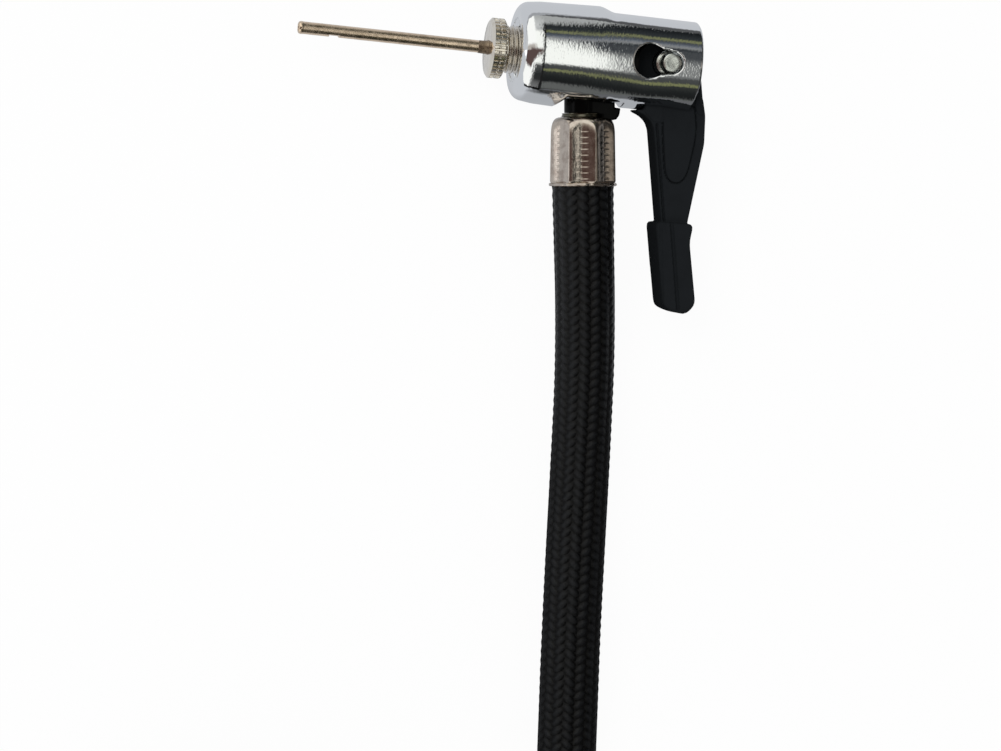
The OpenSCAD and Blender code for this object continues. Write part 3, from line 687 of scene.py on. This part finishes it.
def braid_height(turn, s):
    """Height of the braid, 0 in the gaps to 1 on a yarn, by turns around and mm along."""
    column = turn * BRAID_COLUMNS
    across = column - np.floor(column) - 0.5
    sign = np.where(np.floor(column) % 2 == 0, 1.0, -1.0)
    yarn = s / BRAID_PITCH + YARN_LEAN * sign * across + 0.25 * (1 - sign)
    from_middle = np.abs(2 * (yarn - np.floor(yarn)) - 1)
    off = (np.abs(2 * across) ** YARN_ROUND + from_middle ** YARN_ROUND) ** (1 / YARN_ROUND)
    return np.clip(YARN_REACH - off, 0, 1) ** 0.7


def make_hose(line, heading, s, mat):
    """The hose on its line, as a tube with the braid raised on it."""
    side = np.cross(heading, (0, 0, 1))
    side /= np.linalg.norm(side, axis=1, keepdims=True)
    up = np.cross(side, heading)
    turn = np.linspace(0, 1, HOSE_AROUND + 1)
    a = 2 * np.pi * turn
    tt, ss = np.meshgrid(turn, s)
    rr = HOSE_R - 0.12 + 0.16 * np.exp(-ss / 9) + BRAID_DEPTH * (braid_height(tt, ss) - 0.5)
    spoke = np.cos(a)[None, :, None] * side[:, None, :] + np.sin(a)[None, :, None] * up[:, None, :]
    p = line[:, None, :] + spoke * rr[..., None]
    quads = grid_quads(*tt.shape)[:, [0, 3, 2, 1]]
    uv = np.stack([tt, ss / UV_MM], -1).reshape(-1, 2)
    normals = (spoke / np.linalg.norm(spoke, axis=2, keepdims=True)).reshape(-1, 3)
    return add_mesh("hose_braid", p.reshape(-1, 3), [quads], "core", mat,
                    ("hose_run", "hose_coil"), normals, uv=uv)


def make_braid_material():
    """Black textile yarns: the braid's relief and its fibres, laid by the tube's own UV map."""
    mat, net, bsdf, _ = surface("black_textile_braid", (0.005, 0.005, 0.005), 0.0, 0.42, 0.25)
    turn, length, _ = net.parts(net.add("ShaderNodeUVMap", uv_map="UVMap").outputs[0])
    along = net.times(length, UV_MM)
    column = net.times(turn, BRAID_COLUMNS)
    across = net.minus(net.math("FRACT", column), 0.5)
    odd = net.math("MODULO", net.math("FLOOR", column), 2.0)
    sign = net.minus(1.0, net.times(odd, 2.0))
    yarn = net.plus(net.math("DIVIDE", along, BRAID_PITCH), net.times(net.times(sign, across), YARN_LEAN))
    yarn = net.plus(yarn, net.times(odd, 0.5))
    from_middle = net.size(net.minus(net.times(net.math("FRACT", yarn), 2.0), 1.0))
    sideways = net.size(net.times(across, 2.0))
    off = net.plus(net.math("POWER", sideways, YARN_ROUND), net.math("POWER", from_middle, YARN_ROUND))
    off = net.math("POWER", off, 1 / YARN_ROUND)
    height = net.math("POWER", net.minus(YARN_REACH, off, clamp=True), 0.7)
    lie = net.add("ShaderNodeCombineXYZ")
    net.set(lie, 0, net.times(yarn, 9.0))
    net.set(lie, 1, net.times(column, 1.6))
    net.set(lie, 2, net.times(sign, 7.0))
    fibre = net.noise(lie.outputs[0], 1.0, 4.0, 0.65)
    tall = net.plus(height, net.times(fibre, 0.40))
    net.set(bsdf, "Normal", net.bump(tall, 4.2e-4))
    # Painted shade: the colour is darkest in the gaps between the yarns and lightest on their crowns, with
    # the fibres' grain on top.
    tone = net.times(net.span(height, 0.25, 0.95), net.span(fibre, 0.3, 0.75, 0.45, 1.0))
    net.set(bsdf, "Base Color", net.mix(tone, (0.0008, 0.0008, 0.0009), (0.0092, 0.0100, 0.0115)))
    net.set(bsdf, "Roughness", net.span(fibre, 0.3, 0.7, 0.34, 0.5))
    return mat


BRAID = make_braid_material()
ROUTE = hose_route()
line, heading, run_s = smooth_line(ROUTE, 0.75)
hose = make_hose(line, heading, run_s, BRAID)


# ---- chuck body
FACE_X = -1.1              # the mouth's face
BODY_END = 28.5            # the tail
CONE_X, CREASE_X, STEP_X, STEP_END = 0.5, 2.4, 12.0, 15.1
CONE_R, CREASE_R, SHOULDER_R, WAIST_R, TAIL_R = 7.9, 8.1, 8.3, 7.45, 7.2
SIDE_X = [-2, 0.5, 2.3, 2.5, 5, 9, 12, 15, 18, 20, 22, 25, 30]
SIDE_R = [7.62, 7.9, 8.09, 8.105, 8.145, 8.19, 8.13, 7.96, 7.79, 7.69, 7.63, 7.555, 7.43]
MOUTH_R, BORE_R, TAIL_BORE_R = 4.45, 5.9, 6.3
BORE_X, TAIL_BORE_X = 1.6, 17.7
KEY_X, KEY_R = 19.85, 2.72
NECK_X, NECK_R = KEY_X + 1.4, 2.15
STEM_X = 10.9
POCKET_TOP = -6.85
LEVER_SLOT_X, LEVER_SLOT_HALF = 20.3, 3.2
AT = np.linspace(-2, 30, 1281)


def softened(r):
    """The radii along AT, with their creases softened."""
    kernel = np.hanning(15)
    r[10:-10] = np.convolve(r, kernel / kernel.sum(), mode="same")[10:-10]
    return r


def straight(x, x0, r0, x1, r1):
    """The radius at x on the straight line through two points."""
    return r0 + (x - x0) * (r1 - r0) / (x1 - x0)


def body_radius(x):
    """The outer radius along the chuck: the mouth's cone, the barrel, a step down and the tail."""
    step = (1 + np.cos(np.pi * rise(AT, STEP_X, STEP_END - STEP_X))) / 2
    step = WAIST_R + (SHOULDER_R - WAIST_R) * step
    r = np.where(AT < STEP_END, step, straight(AT, STEP_END, WAIST_R, BODY_END, TAIL_R))
    r = np.where(AT < STEP_X, straight(AT, CREASE_X, CREASE_R, STEP_X, SHOULDER_R), r)
    r = np.where(AT < CREASE_X, straight(AT, CONE_X, CONE_R, CREASE_X, CREASE_R), r)
    return np.interp(x, AT, softened(r))


def side_radius(x):
    """The same on the sides with the keyholes, which taper without a shoulder."""
    r = np.interp(AT, SIDE_X, SIDE_R)
    kernel = np.hanning(121)
    easy = np.convolve(np.pad(r, 60, "edge"), kernel / kernel.sum(), mode="valid")
    return np.interp(x, AT, np.where(AT > 5.5, easy, softened(r)))


def skin_radius(x, z, r):
    """The skin's radius at x. Where z is most of r it is that of the sides."""
    facing = rise(np.abs(z) / np.maximum(r, 1e-6), 0.30, 0.5)
    facing = facing * facing * (3 - 2 * facing)
    return body_radius(x) * (1 - facing) + side_radius(x) * facing


def depth_below(x):
    """How much deeper than round the underside is, as a factor."""
    return 1 + np.interp(x, [-1, 3, 6, 17, 20, 23, 28.5], [0, 0.025, 0.035, 0.035, 0.045, 0.05, 0.125])


def body_field(p):
    x, y, z = p.T
    r = np.hypot(np.where(y < 0, y / depth_below(x), y), z)
    skin = round_and(r - skin_radius(x, z, r), FACE_X - x, 1.6)
    skin = round_and(skin, x - BODY_END + 0.16 * np.clip(-y - 3, 0, 5), 0.3)
    # The mouth with its shallow countersink, and the two bores behind it.
    r = np.hypot(y, z)
    skin = round_and(skin, -np.maximum(r - 5.15, x - FACE_X - 0.35), 0.06)
    skin = round_and(skin, MOUTH_R - r + 0.35 * np.clip(FACE_X + 1 - x, 0, 1), 0.35)
    bore = np.maximum(r - BORE_R, BORE_X - x)
    tail = np.maximum(r - TAIL_BORE_R, TAIL_BORE_X - x)
    skin = round_and(skin, -np.minimum(bore, tail), 0.15)
    # The keyholes: a round hole whose neck narrows towards the hinge pin.
    along = rise(x, NECK_X, HINGE_X - NECK_X)
    neck = np.hypot(x - NECK_X - along * (HINGE_X - NECK_X), y) - (NECK_R - 0.38 * along)
    key = round_or(np.hypot(x - KEY_X, y) - KEY_R, neck, 0.3)
    skin = round_and(skin, -key, 0.3)
    # Below: the cover's pocket and its foot's track, the stem's slot and the lever's slot.
    pocket = outline(x, y, [(7.5, POCKET_TOP), (6.1, -8.4), (6.1, -12), (13.3, -12), (13.3, POCKET_TOP)])
    skin = round_and(skin, -np.maximum(pocket, np.abs(z) - 5.0), 0.3)
    track = np.maximum(np.maximum(10 - x, x - 17.0), np.maximum(np.abs(z) - 3.35, y - POCKET_TOP))
    skin = round_and(skin, -track, 0.15)
    stem = np.maximum(capsule(x, z, STEM_X - 0.15, STEM_X + 1.45, 2.45), y)
    skin = round_and(skin, -stem, 0.2)
    slot = np.maximum(np.maximum(LEVER_SLOT_X - x, np.abs(z) - LEVER_SLOT_HALF), y)
    return round_and(skin, -slot, 0.18)


def polished(p, normals):
    """The skin's shading: the sides as if buffed to one easy curve, the mouth as if rolled over."""
    x, y, z = p.T
    below = depth_below(x)
    skin = skin_radius(x, z, np.hypot(y / below, z))
    on_skin = np.abs(np.hypot(np.where(y < 0, y / below, y), z) - skin) < 0.1
    # A faint bulge below the keyhole turns the skin there a little upwards.
    y = np.where(y < 0, y / below ** 0.5, y)
    y = y + 0.28 * np.interp(x, [16, 19, 22, 25], [0, 1, 1, 0]) * np.clip((-2 - y) / 2, 0, 1)
    r = np.hypot(y, z)
    outward = (normals[:, 1] * y + normals[:, 2] * z) / np.maximum(r, 1e-6)
    # Only skin that looks out sideways is buffed, and more of it towards the tail.
    share = rise(outward, np.interp(x, [14, 18], [0.988, 0.965]), 0.008)
    share = share * rise(np.abs(z) / r, np.interp(x, [14, 18], [0.45, 0.28]), 0.25)
    share = (share * np.clip(x - 2.8, 0, 1) * on_skin)[:, None]
    lean = np.radians(np.interp(x, [4, 9, 12, 15, 18, 22, 28], [-0.8, -0.3, 0.35, 1.1, 1.6, 1.5, 1.2]))
    wanted = np.stack([np.sin(lean), y / r * np.cos(lean), z / r * np.cos(lean)], -1)
    mixed = normals * (1 - share) + wanted * share
    over = np.radians(np.interp(x, [-0.6, 0.3, 0.8, 1.4, 2.2], [0, -8, -3.6, -1.2, 0]))
    mixed[:, 0] += over * rise(outward, 0.90, 0.05)
    return mixed / np.linalg.norm(mixed, axis=1, keepdims=True)


carved("chuck_shell", body_field, (-1.6, -8.9, -8.9), (29.1, 8.9, 8.9), 0.235, CHUCK, "chuck",
       CHROME, ("chuck_body",), polished)


PIN_HALF = 7.243
pin_profile = [(0.001, -PIN_HALF), (1.30, -PIN_HALF), (1.48, -PIN_HALF + 0.08), (1.52, -PIN_HALF + 0.22),
               (1.52, -4.78), (1.6, -4.62), (1.9, -4.56), (2.02, -4.5), (2.08, -4.36)]
pin_profile += [(r, -z) for r, z in pin_profile[:0:-1]] + [(0.9, PIN_HALF - 0.03), (0.001, PIN_HALF - 0.04)]
turned("pin_of_hinge", ALONG_PIN, pin_profile, 64, "chuck", PIN_STEEL, ("hinge_pin",))


# ---- lever, about the hinge pin
# Outlines in X and Y, then the half widths along the pin.
ARM = [(-2.9, -5.6), (-2.95, -7.75), (-4.2, -7.8), (-4.05, -8.1), (-2.75, -8.6), (-1.65, -9.5), (-1.1, -10.7),
       (1.6, -26.5), (5.7, -26.5), (7.5, -12.3), (7.3, -8.3), (7.25, -7.7), (6.6, -4.9), (4, -4.9)]
TONGUE = [(0.15, -6.5), (0.25, -8.5), (0.7, -12.5), (1.35, -17.0), (1.75, -18.2), (2.5, -18.9), (3.4, -19.05),
          (4.2, -18.6), (4.8, -17.7), (5.15, -16.3), (5.7, -12.5), (5.84, -10.4), (5.6, -8.6), (5.2, -6.5)]
COLLAR = [(-2.9, -7.8), (-2.7, -8.4), (-1.75, -9.1), (-1.3, -9.6), (0.35, -9.6), (0.25, -6.0), (-2.85, -5.7)]
HEEL = [(5.7, -2.2), (6.35, -2.0), (7.25, -7.75), (6.0, -7.8), (5.2, -6.3)]
GRIP = [(0.3, -25.5), (6.7, -25.4), (6.28, -28.4), (8.15, -38.4), (6.6, -40.2), (4.2, -39.7), (2.75, -39.0)]

HUB_HALF, ARM_HALF, TONGUE_HALF, HEEL_HALF, GRIP_HALF = 2.3, 2.8, 3.0, 2.98, 4.0
PIN_HOLE_R = 2.13
CAM_R = 5.05
CORE_TRAVEL = 1.3
SWING = 80                 # degrees


def hub_outline():
    """The hub, whose cam falls off by the core's travel over the lever's swing."""
    cam = []
    for a in range(0, SWING + 1, 8):
        r = CAM_R - CORE_TRAVEL / SWING * a
        c, s = unit(a)
        cam.append((-r * c, r * s))
    front = [(-2.9, -6.2), (-3.2, -5.4), (-4.7, -5.2), (-CAM_R, -1.2)]
    return front + cam + [(2.2, 3.1), (5.0, 0.6), (6, -1.5), (6.4, -4.5), (6.4, -6.2)]


LEVER_SHAPES = {"hub": hub_outline(), "arm": rounded(ARM, 0.5), "tongue": rounded(TONGUE, 0.6, 3),
                "collar": rounded(COLLAR, 0.3, 3), "heel": rounded(HEEL, 0.3, 3), "grip": rounded(GRIP, 1.0)}


def line_groove(x, y, a, b, half_w):
    """1 on the straight line from a to b, falling to 0 at half_w from it."""
    a, b = np.array(a), np.array(b)
    e = b - a
    t = np.clip(((x - a[0]) * e[0] + (y - a[1]) * e[1]) / (e @ e), 0, 1)
    d = np.hypot(x - a[0] - e[0] * t, y - a[1] - e[1] * t)
    return np.clip(1 - (d / half_w) ** 2, 0, 1)


def lever_field(p):
    """The lever: hub, arm, raised tongue, collar, heel and grip, with the hole for the pin."""
    x, y, z = p[:, 0], p[:, 1], np.abs(p[:, 2])
    shape = {k: outline(x, y, v) for k, v in LEVER_SHAPES.items()}
    hub = round_and(shape["hub"], z - HUB_HALF, 0.3)
    face = ARM_HALF - 0.45 * line_groove(x, y, (-0.66, -9.9), (2.05, -26), 0.24)
    face = face - 0.3 * np.clip(1 - (shape["tongue"] / 0.28) ** 2, 0, 1)
    arm = round_and(shape["arm"], z - face, 0.35)
    tongue = round_and(shape["tongue"], z - TONGUE_HALF, 0.16)
    collar = round_and(shape["collar"], z - TONGUE_HALF, 0.3)
    # Swung to its stop, the heel lies in the round bore of the tail.
    heel = round_and(shape["heel"], z - HEEL_HALF, 0.2)
    swung_y = 0.985 * x + 0.174 * y
    heel = round_and(heel, np.hypot(swung_y, z) - (TAIL_BORE_R - 0.25), 0.15)
    # The grip's faces slope off ahead of the first crease and dip at the second.
    fore = 1.09 + (-25.9 - y) * 0.12 - x
    top = GRIP_HALF - 0.336 * np.clip(fore, 0, 3) ** 1.15
    top = top - 0.4 * line_groove(x, y, (2.95, -25.6), (5.26, -39.3), 0.34)
    top = top - 0.22 * line_groove(x, y, (1.09, -25.6), (2.63, -38.9), 0.30)
    behind = x - (2.95 + (-25.6 - y) * 0.169)
    top = top - 0.10 * np.clip(behind, 0, 1)
    grip = round_and(shape["grip"], z - top, 0.55)
    whole = round_or(round_or(hub, arm, 0.15), grip, 0.25)
    whole = np.minimum(np.minimum(whole, tongue), np.minimum(collar, heel))
    return round_and(whole, PIN_HOLE_R - np.hypot(x, y), 0.15)


carved("lever_moulding", lever_field, (-5.6, -40.8, -4.4), (9.0, 5.6, 4.4), 0.2, CHUCK + (HINGE_X, 0, 0),
       "lever", NYLON, ("lever",))


# ---- slot cover and nipple
COVER_X = PORT_X + 7.85 * math.tan(LEAN)
COVER_R, COVER_TOP = 3.05, -6.95
CONE_AT, FLARE_AT = 9.13, 9.98                # where the nipple's cone enters the post, and widens
FOOT = [(0, COVER_TOP), (0, -9.2), (2.6, -9.2), (2.6, -9.95), (4.2, -9.95), (5.1, -9.7), (5.5, -9.0),
        (5.6, -8.2), (5.6, -7.85), (4.7, -7.8), (4.6, COVER_TOP)]


def cover_field(p):
    """The cover: a post around the nipple, and a foot towards the lever."""
    x, y, z = p.T
    along = (x - PORT_X) * math.sin(LEAN) - y * math.cos(LEAN)
    across = np.hypot((x - PORT_X) * math.cos(LEAN) + y * math.sin(LEAN), z)
    post = round_and(across - COVER_R, np.maximum(y - COVER_TOP, along - CONE_AT), 0.15)
    foot = outline(x, y, [(COVER_X + ahead, at) for ahead, at in FOOT])
    whole = round_or(post, round_and(foot, np.abs(z) - COVER_R, 0.3), 0.15)
    cone = np.where(along < FLARE_AT, 3.45 + (along - CONE_AT) * 0.5, 4.3 + (along - FLARE_AT) * 1.6)
    whole = round_and(whole, -np.maximum(across - cone, CONE_AT - along), 0.08)
    return round_and(whole, 2.4 - across, 0.1)


carved("cover_of_slot", cover_field, (7.2, -10.5, -3.6), (17.6, -6.4, 3.6), 0.16, CHUCK, "core",
       GLOSS_BLACK, ("slot_cover",))

turned("nipple_cone", ALONG_PORT,
       [(1.2, 2.2), (1.9, 2.2), (1.9, 5.2), (2.3, 5.22), (2.3, 9.15), (3.3, 9.15), (3.42, 9.2), (3.42, 9.27),
        (3.34, 9.34), (3.5, 9.68), (3.46, 9.72), (2.3, 9.74), (2.3, 12.9), (2.9, 12.95), (2.4, 15.9),
        (2.9, 15.95), (2.4, 18.9), (2.9, 18.95), (2.4, 20.5), (1.2, 20.5), (1.2, 2.2)],
       72, "core", NICKEL_PAINTED_SHADE, ("hose_nipple",))


# ---- crimp ferrules
FERRULE_LEN = 10.8
FLUTES = 8
FLUTE_TURN = math.radians(12)
TICK_PITCH, TICK_DEPTH = 0.95, 0.028


def ferrule_shape(tt, s, _):
    """The ferrule's outside: a shoulder, eight flutes with rounded ribs between, and a lip."""
    up = rise(s, -0.35, 2.8)
    hoop = 3.5 + 2.3 * np.sqrt(np.clip(1 - (1 - up) ** 2, 0, 1))
    hoop = hoop + np.interp(s, [0, 1.9, FERRULE_LEN - 0.8], [0, 0, 0.12])
    step = 2 * np.pi / FLUTES
    off = np.abs((tt - FLUTE_TURN + step / 2) % step - step / 2)
    off = np.sqrt(off * off + 0.0064) - 0.05
    # Each flute is a shallow V: its two faces run from the ridges down to a crease.
    half = step / 2
    ridge, crease = 5.90 + (s - 0.95) * 0.021, 4.84 + (s - 0.95) * 0.021
    slope = (ridge * np.cos(half) - crease) / (ridge * np.sin(half))
    flat = crease / (np.cos(off) - slope * np.sin(off))
    beyond = crease / (np.cos(step - off) - slope * np.sin(step - off))
    # The least of the shoulder and the two faces, with their edges rounded by k.
    k = 0.25
    body = 5 - k * np.log(sum(np.exp(-np.clip(face - 5, -3, 3) / k) for face in (hoop, flat, beyond)))
    ticks = np.clip(np.cos(2 * np.pi * s / TICK_PITCH) * 3 - 1.9, 0, 1) * ((s > 1.4) & (s < 9.6))
    body = body - TICK_DEPTH * ticks * rise(off, 0.01, 0.03) * rise(0.15 - off, 0, 0.05)
    lip = np.interp(s, [0, 10.0, 10.25, 10.42, 10.6, 10.72, 10.8], [0, 0, 5.3, 5.45, 5.48, 5.44, 5.3])
    lip = lip + 0.05 * np.sin(23 * tt) * (lip > 5)
    return np.where(s > 10.0, np.maximum(np.where(s < 10.3, body - (s - 10.0) * 0.5, 0), lip), body)


def make_ferrule(name, axes, replaces, mirror, rings, start):
    """A ferrule from its start to its lip, open at both ends; mirror turns it end for end."""
    s = np.concatenate([np.linspace(start, 0.5, 10), np.linspace(0.6, 2.6, 20), np.linspace(2.7, 9.9, rings),
                        np.linspace(10.0, FERRULE_LEN, 14)])
    inner = [(5.35, FERRULE_LEN), (5.1, 10.78), (4.62, 10.7), (4.56, 10.5), (4.55, 1.0), (2.45, 1.0),
             (2.45, start + 0.02), (3.6, start)]
    p, q = turned_grid([(0, at) for at in s], 240, ferrule_shape)
    p2, q2 = turned_grid(inner, 240)
    points = np.vstack([p, p2])
    quads = np.vstack([q, q2 + len(p)])
    if mirror:
        points[:, 2] = FERRULE_LEN - points[:, 2]
        quads = quads[:, ::-1]
    add_mesh(name, axes.put(points), [quads], "core", FERRULE_NICKEL, replaces, sharp=50)


FERRULE_AXES = Axes(ALONG_PORT.put((0, 0, 10.1)), *ALONG_PORT.m)
make_ferrule("crimped_ferrule", FERRULE_AXES, ("hose_ferrule",), False, 90, -0.35)
make_ferrule("crimped_far_ferrule", ALONG_FAR, ("far_ferrule",), True, 45, 0.0)


# ---- needle adaptor
PITCH = 0.794
THREAD_R, ROOT_R = 3.85, 3.38
HEAD_R = 4.83
TEETH = 36


def thread_shape(crest, root, pitch):
    def shape(tt, z, r):
        t = (z / pitch - tt / (2 * np.pi)) % 1.0
        tooth = 0.5 - 0.5 * np.cos(2 * np.pi * t)
        return np.where(r >= crest - 1e-6, root + (crest - root) * tooth ** 0.8, r)
    return shape


def knurl_shape(tt, z, r):
    """Square teeth around the head, with a shallow groove around its middle."""
    t = (tt * TEETH / (2 * np.pi)) % 1.0
    valley = rise(0.27 - np.abs(t - 0.5), 0, 0.09)
    groove = rise(0.16 - np.abs(z + 4.1), 0, 0.07)
    deep = np.maximum(0.34 * valley, 0.16 * groove) * rise(z, -5.02, 0.08)
    return r - deep * rise(r, 4.5, 0.3)


head_profile = [(0.86, -5.35), (1.2, -5.4), (4.3, -5.4), (4.4, -5.37), (4.76, -5.08), (HEAD_R, -5.03)]
head_profile += [(HEAD_R, z) for z in np.linspace(-5.0, -3.35, 25)]
head_profile += [(HEAD_R, -3.28), (4.7, -3.1), (4.5, -2.97), (4.3, -2.9), (3.5, -2.9), (1.75, -2.9)]
shank_profile = [(3.4, -2.95), (3.4, -2.6)] + [(THREAD_R, z) for z in np.linspace(-2.5, 5.2, 117)]
shank_profile += [(3.4, 5.3), (3.1, 5.6), (1.7, 5.6), (1.7, -4.1), (0.88, -4.12), (0.88, -5.38)]
turned("knurled_head", ALONG_CHUCK, head_profile, 600, "adaptor", HEAD_NICKEL_PAINTED_LIGHT, ("adaptor_base",),
       30, knurl_shape)
turned("threaded_shank", ALONG_CHUCK, shank_profile, 144, "adaptor", NICKEL, ("adaptor_base",), 60,
       thread_shape(THREAD_R, ROOT_R, PITCH))


NEEDLE_R = 1.025
TIP_X = -36.2
HOLE_X = TIP_X + 5.8


def needle_field(p):
    """The tube droops a little out of line, and its side hole opens on a small flat."""
    x, y, z = p.T
    y = y - 0.0122 * np.clip(-5.4 - x, 0, 40)
    r = np.hypot(y, z)
    rod = round_and(r - NEEDLE_R - 0.035 * np.exp(-((x - TIP_X - 0.55) / 0.22) ** 2) + 0.03, TIP_X - x, 0.34)
    rod = round_and(rod, x + 6.9, 0.05)
    seat = np.maximum(r - 0.85, np.maximum(TIP_X + 2 - x, x + 3.7))
    rod = np.minimum(rod, seat)
    rod = round_and(rod, 0.6 - r, 0.06)
    hole = np.maximum(capsule(x - HOLE_X, z, -0.25, 0.25, 0.42), y)
    flat = np.maximum(np.abs(x - HOLE_X) - 0.75, y + 0.72)
    return round_and(round_and(rod, -flat, 0.1), -hole, 0.07)


carved("hollow_needle", needle_field, (TIP_X - 0.3, -1.25, -1.25), (-3.4, 1.6, 1.25), 0.12, CHUCK, "adaptor",
       NEEDLE, ("needle_tube",))


def braze_shape(tt, z, r):
    """A lumpy surface, as brazing leaves it."""
    lumps = np.sin(3 * tt + 2.1 * z) * 0.5 + np.sin(5 * tt - 4.3 * z + 1) * 0.3
    lumps = lumps + np.sin(9 * tt + 7 * z) * 0.2
    return np.where(r > 1.01, r + 0.025 * lumps, r)


turned("braze_fillet", ALONG_CHUCK,
       [(0.87, -6.98), (1.0, -6.99), (1.03, -6.85), (1.04, -6.6), (1.05, -6.2), (1.07, -5.85), (1.12, -5.55),
        (1.18, -5.42), (0.87, -5.4)], 64, "adaptor", BRAZE, ("needle_braze",), 50, braze_shape)


# ---- compressor end of the hose
FAR_HEX = 11.4             # where the hexagon starts, along the fitting
FAR_PITCH = 1.337


def far_field(p):
    """The far fitting about its own axis: collar and stem, hexagon, core and thread."""
    x, y, s = p.T
    r = np.hypot(x, y)
    six = np.full(x.shape, -1e9)
    for k in range(6):
        a = math.radians(60 * k + 30)
        six = np.maximum(six, x * math.cos(a) + y * math.sin(a) - 5.5)
    nut = round_and(six, np.abs(s - FAR_HEX - 2) - 2, 0.12)
    nut = np.maximum(nut, r + np.abs(s - FAR_HEX - 2) * 1.7 - 9.25)
    collar = np.maximum(r - 3.6, np.abs(s - 11.3) - 0.5)
    stem = np.maximum(r - 2.3, np.abs(s - 11) - 1.6)
    core = np.maximum(r - 4.26, np.abs(s - 19.4) - 4.0)
    t = (s / FAR_PITCH - np.arctan2(y, x) / (2 * np.pi)) % 1.0
    tooth = 4.2 + 0.66 * np.clip(1.2 - np.abs(t - 0.5) * 3.0, 0, 1)
    tapered = np.minimum(tooth, 4.86 + (22.85 - s) * 0.9)
    thread = np.maximum(r - tapered, np.maximum(16.6 - s, s - 22.8)) * 0.75
    whole = np.minimum(np.minimum(nut, np.minimum(collar, stem)), np.minimum(core, thread))
    return round_and(whole, 1.2 - r, 0.3)


v, quads, normals = solid_of(far_field, (-6.6, -6.6, 9.2), (6.6, 6.6, 23.8), 0.2)
add_mesh("hose_end_fitting", ALONG_FAR.put(v), [quads], "core", NICKEL, ("far_nipple",),
         normals=normals @ ALONG_FAR.m)


# ---- strap around the stored coil
STRAP_W = 9
STRAP_AT = 67.5            # degrees around the coil


def make_webbing():
    """Woven webbing, laid by the strap's own UV map."""
    mat, net, bsdf, _ = surface("strap_webbing", (0.02, 0.02, 0.021), 0.0, 0.7, 0.3)
    around, width, _ = net.parts(net.add("ShaderNodeUVMap", uv_map="UVMap").outputs[0])
    ribs = net.math("SINE", net.times(around, 2 * math.pi * 70))
    rows = net.math("SINE", net.times(width, 2 * math.pi * 9))
    weave = net.times(ribs, rows)
    net.set(bsdf, "Normal", net.bump(weave, 0.00012, 0.9))
    # Painted shade: the colour follows the weave's relief, darker in its hollows and lighter on its crests.
    net.set(bsdf, "Base Color", net.mix(net.span(weave, -1, 1), (0.010, 0.010, 0.011), (0.030, 0.030, 0.032)))
    return mat


def make_strap(mat):
    """A closed band around both turns of the coil."""
    half = 180 / 24
    at = (coil_point(STRAP_AT - half) + coil_point(STRAP_AT + half)) / 2 + (CHUCK[0], CHUCK[1], 0)
    top_z = coil_height(360 + STRAP_AT) + HOSE_R + 0.3
    half_w = HOSE_R / math.cos(math.pi / 6) + 0.3
    c, s = unit(-STRAP_AT)
    ex, ey = np.array([c, s, 0]), np.array([s, -c, 0])
    loop = []
    r = 2.0
    w, z0, z1 = half_w + 0.6, 0.55, top_z + 0.65
    for cx, cz, a0 in ((w - r, z0 + r, -90), (w - r, z1 - r, 0), (-w + r, z1 - r, 90), (-w + r, z0 + r, 180)):
        for a in np.linspace(a0, a0 + 90, 9):
            c, s = unit(a)
            loop.append((cx + r * c, cz + r * s))
    loop = np.array(loop + [loop[0]])
    run = np.concatenate([[0], np.cumsum(np.linalg.norm(np.diff(loop, axis=0), axis=1))])
    s = np.linspace(0, run[-1], 160)
    path = np.stack([np.interp(s, run, loop[:, a]) for a in (0, 1)], -1)
    tangent = np.gradient(path, axis=0)
    tangent[0] = tangent[-1] = path[1] - path[-2]
    tangent /= np.linalg.norm(tangent, axis=1, keepdims=True)
    out = np.stack([tangent[:, 1], -tangent[:, 0]], -1)
    section = [(-4.5, -0.3), (-4.3, -0.5), (-2, -0.5), (0, -0.5), (2, -0.5), (4.3, -0.5), (4.5, -0.3),
               (4.5, 0.3), (4.3, 0.5), (2, 0.52), (0, 0.5), (-2, 0.52), (-4.3, 0.5), (-4.5, 0.3)]
    pts, uv = [], []
    for i in range(len(s) - 1):
        for across, t in section:
            q = path[i] + out[i] * t
            pts.append(at * (1, 1, 0) + ex * q[0] + ey * across + (0, 0, q[1]))
            uv.append((s[i] / run[-1], across / STRAP_W + 0.5))
    quads = grid_quads(len(s) - 1, len(section), True, True)
    add_mesh("strap_of_webbing", pts, [quads], "core", mat, ("coil_strap",), sharp=50, uv=uv)


make_strap(make_webbing())


# ---- CAD nodes that stay, with better materials
for node, mat in {"valve_seal": RUBBER, "slide_core": GLOSS_BLACK, "thrust_washer": BRASS,
                  "valve_depressor": BRASS, "port_gasket": RUBBER, "hose_end_in_ferrule": RUBBER,
                  "hose_end_in_far_ferrule": RUBBER, "far_washer": RUBBER}.items():
    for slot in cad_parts[node].material_slots:
        slot.material = mat
